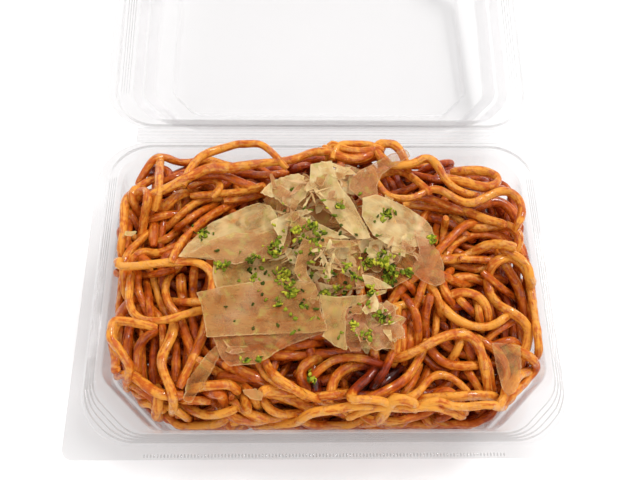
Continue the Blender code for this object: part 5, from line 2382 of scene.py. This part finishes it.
@dataclass
class Crumple:
    """The many small crumpled shavings between the large ones."""

    blanket: Blanket
    name: str = "curled_shavings"
    narrow: float = 0.35  # the share of thin curls
    patches: tuple[tuple[Place, Place, int], ...] = (
        ((2.0, 15.0), (25.0, 24.0), 165),
        ((17.0, -21.0), (10.0, 8.0), 30),
        ((-31.0, -30.0), (3.0, 2.0), 3),
    )  # each patch's middle, its half widths and how many shreds lie in it
    rng: np.random.Generator = field(default_factory=lambda: np.random.default_rng(5))
    lengths: tuple[float, float] = (6.0, 14.0)
    widths: tuple[float, float] = (3.0, 7.0)
    curl_widths: tuple[float, float] = (0.9, 1.8)
    corners: int = 7
    torn: float = 0.15  # how far the tears in their edges reach
    shares: tuple[float, float, float] = (0.45, 0.35, 0.2)  # of the three tones
    level: float = 46.0  # about how high the shreds lie
    sunk: float = 0.65  # the share of a shred's points that may lie below what it fell on

    def shred(self) -> tuple[Array, list[tuple[int, ...]], Array, Array]:
        """One crumpled shred about the origin: points, faces, flat places and rim."""
        rng = self.rng
        narrow = rng.random() < self.narrow
        length = rng.uniform(*self.lengths)
        width = rng.uniform(*(self.curl_widths if narrow else self.widths))
        even = np.arange(self.corners) * 2 * math.pi / self.corners
        turns = np.sort(rng.uniform(0, 2 * math.pi, self.corners) * 0.4 + even * 0.6)
        corners = np.stack([np.cos(turns) * length / 2, np.sin(turns) * width / 2], 1)
        corners *= rng.uniform(0.75, 1.15, self.corners)[:, None]
        ring = ragged(corners, self.torn, rng)
        flat, faces = filled(ring, TRIANGLE)
        z = 0.5 * rng.normal() * (0.12 if narrow else 0.07) * flat[:, 0] ** 2
        z += 0.5 * rng.normal() * 0.10 * flat[:, 1] ** 2 + rng.uniform(0.3, 0.9) * creases(flat, rng)
        return np.c_[flat, z], faces, flat, rim_of(flat, ring)

    def drop(self, points: Array, middle: Place, spread: Place) -> Array:
        """Turns a shred at random and lets it down somewhere in a patch."""
        rng, field_ = self.rng, self.blanket.field_
        angle, far = rng.random() * 2 * math.pi, math.sqrt(rng.random())
        at = np.array(middle) + far * np.array(spread) * (math.cos(angle), math.sin(angle))
        at = VIEW.lifted(at[None], TOP_LEVEL, np.array([self.level]))[0]
        tilts = rng.normal(size=2) * 0.2
        turned = Matrix.Rotation(rng.random() * 2 * math.pi, 3, "Z")
        turned = turned @ Matrix.Rotation(tilts[0], 3, "X") @ Matrix.Rotation(tilts[1], 3, "Y")
        placed = points @ np.array(turned).T
        placed[:, :2] += at
        above = np.sort(field_.height[field_.cells(placed)] - placed[:, 2])
        placed[:, 2] = self.blanket.capped(placed[:, 2] + above[int(len(above) * self.sunk)] + 0.2)
        return placed

    def build(self, skins: dict[ShavingTone, bpy.types.Material]) -> list[bpy.types.Object]:
        """Makes one piece of each tone."""
        tones = list(skins)
        bins: dict[ShavingTone, list[SheetMesh]] = {tone: [] for tone in tones}
        for middle, spread in (patch[:2] for patch in self.patches for _ in range(patch[2])):
            points, faces, flat, rim = self.shred()
            placed = self.drop(points, middle, spread)
            self.blanket.cover(placed)
            tone = tones[int(self.rng.choice(len(tones), p=self.shares))]
            bins[tone].append(SheetMesh(placed, faces, flat + self.rng.random(2) * 60, rim))
        return [
            dressed_sheets(f"{self.name}_{tone.name.lower()}", sheets, self.blanket, tone, skins)
            for tone, sheets in bins.items()
        ]


def dressed_sheets(
    name: str,
    sheets: Sequence[SheetMesh],
    blanket: Blanket,
    tone: ShavingTone,
    skins: dict[ShavingTone, bpy.types.Material],
) -> bpy.types.Object:
    """Makes a piece of shavings of one tone that rides on the tray."""
    piece = sheet_piece(name, sheets, blanket.thickness, skins[tone])
    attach(piece, "base")
    tell(piece)
    return piece


@dataclass
class Topping:
    """All the bonito: large shavings under and over the small ones."""

    blanket: Blanket

    def build(self) -> None:
        """Makes every piece of the topping."""
        skins = {tone: ShavingFinish(tone).material() for tone in ShavingTone}
        self.lay_large(UNDER_SHAVINGS, skins)
        small = {tone: skins[tone] for tone in (PALE, TAN, ROSE)}
        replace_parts(Crumple(self.blanket).build(small)[0], "bonito_mound")
        self.lay_large(OVER_SHAVINGS, skins)
        rng = np.random.default_rng(6)
        loose = Crumple(self.blanket, "loose_shreds", narrow=0.6, patches=LOOSE_SHREDS, rng=rng)
        loose.build(small)

    def lay_large(
        self, shapes: Sequence[ShavingShape], skins: dict[ShavingTone, bpy.types.Material]
    ) -> None:
        """Lays large shavings, each over the last."""
        for shape in shapes:
            sheets = [self.blanket.lay(shape)]
            piece = dressed_sheets(f"{shape.name}_sheet", sheets, self.blanket, shape.tone, skins)
            if shape.has_node:
                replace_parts(piece, shape.name)


# ---------------------------------------------------------------------------------------------
# Green laver
# ---------------------------------------------------------------------------------------------

# Where the laver lies thickest, as it looks on the plane at TOP_LEVEL, and how many crumbs.
LAVER_SPOTS: tuple[tuple[float, float, float, int], ...] = (
    (-45, 15, 2.0, 14), (-38, 2, 2.2, 12), (-27, 4, 2.4, 12), (-26, -3, 1.6, 8), (-18, 9, 2.4, 20),
    (-15, -2, 2.6, 26), (-12, -8, 2.4, 18), (-9, 15, 2.6, 16), (-3, 16, 3.0, 26), (5, 27, 2.0, 8),
    (24, 24, 2.2, 14), (40, 13, 1.4, 7), (16, 3, 2.4, 16), (21, 4, 3.0, 24), (24, -1, 3.0, 24),
    (22, -4, 2.0, 10), (30, -1, 1.6, 8), (9, -3, 2.6, 16), (3, -7, 2.2, 12), (0, -9, 1.6, 8),
    (17, -8, 2.2, 12), (-17, -13, 1.2, 5), (-8, -13, 1.2, 5), (20, -18, 2.6, 14),
    (10, -22, 2.2, 10), (15, -25, 2.2, 8), (-28, -34, 1.0, 5), (-23, -34, 1.2, 6),
    (-5, -41, 1.4, 7), (-5, 0, 22.0, 70),
)


@dataclass
class GreenLaver:
    """Crumbs of dried laver strewn over the topping."""

    field_: HeightField
    plenty: float = 1.5
    radius: float = 0.8
    tears: float = 0.7  # how large the unevenness of a crumb is
    tear_depth: float = 2.0  # in radii
    level: float = 44.0  # about how high the crumbs lie
    gather: float = 0.6  # how near a spot's middle most crumbs lie, as a share of its width
    tones: tuple[float, float] = (0.25, 0.75)  # the spots' own tones
    tone_play: float = 0.3
    heaped: float = 0.5  # how high a crumb may lie on others
    rng: np.random.Generator = field(default_factory=lambda: np.random.default_rng(3))

    def recipe(self, skin: bpy.types.Material) -> ShapeRecipe:
        """The Geometry Nodes tree that puts a crumb on every point."""
        write = ShapeRecipe("laver_crumbs")
        size = write.size("Crumb Radius")
        ball = write.node("GeometryNodeMeshIcoSphere", values={"Radius": size, "Subdivisions": 1})
        put = write.node(
            "GeometryNodeInstanceOnPoints",
            values={
                "Points": write.geometry,
                "Instance": ball.outputs["Mesh"],
                "Rotation": write.stored("turn", "FLOAT_VECTOR"),
                "Scale": write.stored("stretch", "FLOAT_VECTOR"),
            },
        )
        real = write.node("GeometryNodeRealizeInstances", values={"Geometry": put.outputs[0]})
        place = write.node("GeometryNodeInputPosition")
        noise = write.node(
            "ShaderNodeTexNoise",
            values={"Vector": place.outputs[0], "Scale": 1 / (self.tears * MM), "Detail": 1.0},
        )
        centred = write.node(
            "ShaderNodeVectorMath",
            {"operation": "SUBTRACT"},
            {0: noise.outputs["Color"], 1: (0.5, 0.5, 0.5)},
        )
        push = write.node(
            "ShaderNodeVectorMath",
            {"operation": "SCALE"},
            {0: centred.outputs[0], "Scale": size * self.tear_depth},
        )
        torn = write.node(
            "GeometryNodeSetPosition", values={"Geometry": real.outputs[0], "Offset": push.outputs[0]}
        )
        write.close(torn.outputs[0], skin)
        return write

    def build(self, skin: bpy.types.Material) -> None:
        """Makes all the crumbs as one piece."""
        rng = self.rng
        points, tones = [], []
        for x, y, spread, count in LAVER_SPOTS:
            base = rng.uniform(*self.tones)
            for _ in range(int(count * self.plenty)):
                spot = np.array([[x, y]]) + rng.normal(size=(1, 2)) * spread * self.gather
                z = np.array([self.level])
                for _ in range(3):
                    at = VIEW.lifted(spot, TOP_LEVEL, z)
                    z = self.field_.height[self.field_.cells(at)]
                points.append((*at[0], z[0] + rng.uniform(0.0, self.heaped)))
                tones.append(min(max(base + rng.normal() * self.tone_play, 0), 1))
        piece = new_piece("green_laver", points)
        turn = rng.normal(size=(len(points), 3)) * (0.5, 0.5, 3)
        widths = ((0.6, 2.0), (0.4, 1.1), (0.2, 0.5))  # the least and most along each axis
        stretch = np.stack([rng.uniform(*limits, len(points)) for limits in widths], 1)
        data = piece.data.attributes
        data.new("tone", "FLOAT", "POINT").data.foreach_set("value", tones)
        data.new("turn", "FLOAT_VECTOR", "POINT").data.foreach_set("vector", turn.ravel())
        data.new("stretch", "FLOAT_VECTOR", "POINT").data.foreach_set("vector", stretch.ravel())
        self.recipe(skin).grow(piece, {"Crumb Radius": self.radius * MM})
        shade(piece)
        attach(piece, "base")
        tell(piece)


# ---------------------------------------------------------------------------------------------
# Studio
# ---------------------------------------------------------------------------------------------


@dataclass
class Studio:
    """A white table under a wide soft lamp."""

    table: float = 20000.0
    lamp_size: float = 800.0
    lamp_place: tuple[float, float, float] = (1180.0, 900.0, 2320.0)
    lamp_power: float = 36.0
    sky: float = 0.98
    low_sky: float = 0.84  # the sky's brightness behind the viewer
    sky_span: tuple[float, float] = (-0.5, 0.6)  # where between the two it changes

    def build(self) -> None:
        """Adds the table, the lamp, the sky and the camera."""
        half = self.table / 2
        corners = [(-half, -half, 0), (half, -half, 0), (half, half, 0), (-half, half, 0)]
        new_piece("table", corners, [(0, 1, 2, 3)], skin=FloorFinish().material())
        lamp = bpy.data.lights.new("key_lamp", "AREA")
        lamp.shape = "DISK"
        lamp.size = self.lamp_size * MM
        lamp.energy = self.lamp_power
        holder = in_scene("key_lamp", lamp)
        place = Vector(self.lamp_place) * MM
        holder.location = place
        holder.rotation_euler = (-place).to_track_quat("-Z", "Y").to_euler()
        bpy.context.scene.world = self.world()
        bpy.context.scene.view_settings.view_transform = "Standard"
        VIEW.camera()

    def world(self) -> bpy.types.World:
        """A sky that darkens towards the horizon behind the viewer."""
        world = bpy.data.worlds.new("soft_sky")
        world.use_nodes = True
        write = TreeWriter(world.node_tree)
        way = write.node("ShaderNodeTexCoord").outputs["Generated"]
        parts = write.node("ShaderNodeSeparateXYZ", values={0: way})
        lean = Channel(write, parts.outputs["Y"]) + Channel(write, parts.outputs["Z"])
        strength = self.low_sky + (self.sky - self.low_sky) * lean.step(*self.sky_span)
        glow = write.node("ShaderNodeBackground", values={"Color": (1, 1, 1), "Strength": strength})
        out = write.node("ShaderNodeOutputWorld")
        write.feed(out.inputs["Surface"], glow.outputs[0])
        return world


def main() -> None:
    """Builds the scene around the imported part."""
    logging.basicConfig(level=logging.INFO, format="%(message)s")
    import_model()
    Studio().build()
    film = FilmFinish().material()
    tray_place = Matrix.Translation((0, 0, PACK.tray_height * MM))
    PressedHalf("tray_sheet", "tray", "base", TRAY_ROWS, tray_place).build(film)
    PressedHalf("lid_sheet", "lid", "lid", LID_ROWS, PACK.lid_place()).build(film)
    RimRibs().build(film)
    HingeStrip().build(film)
    heap = NoodleHeap()
    heap.settle()
    heap.build(NoodleFinish().material(), PaintedShadeCoreFinish().material())
    cover = heap.heights()
    Topping(Blanket(cover)).build()
    GreenLaver(cover).build(LaverFinish().material())


if __name__ == "__main__":
    main()
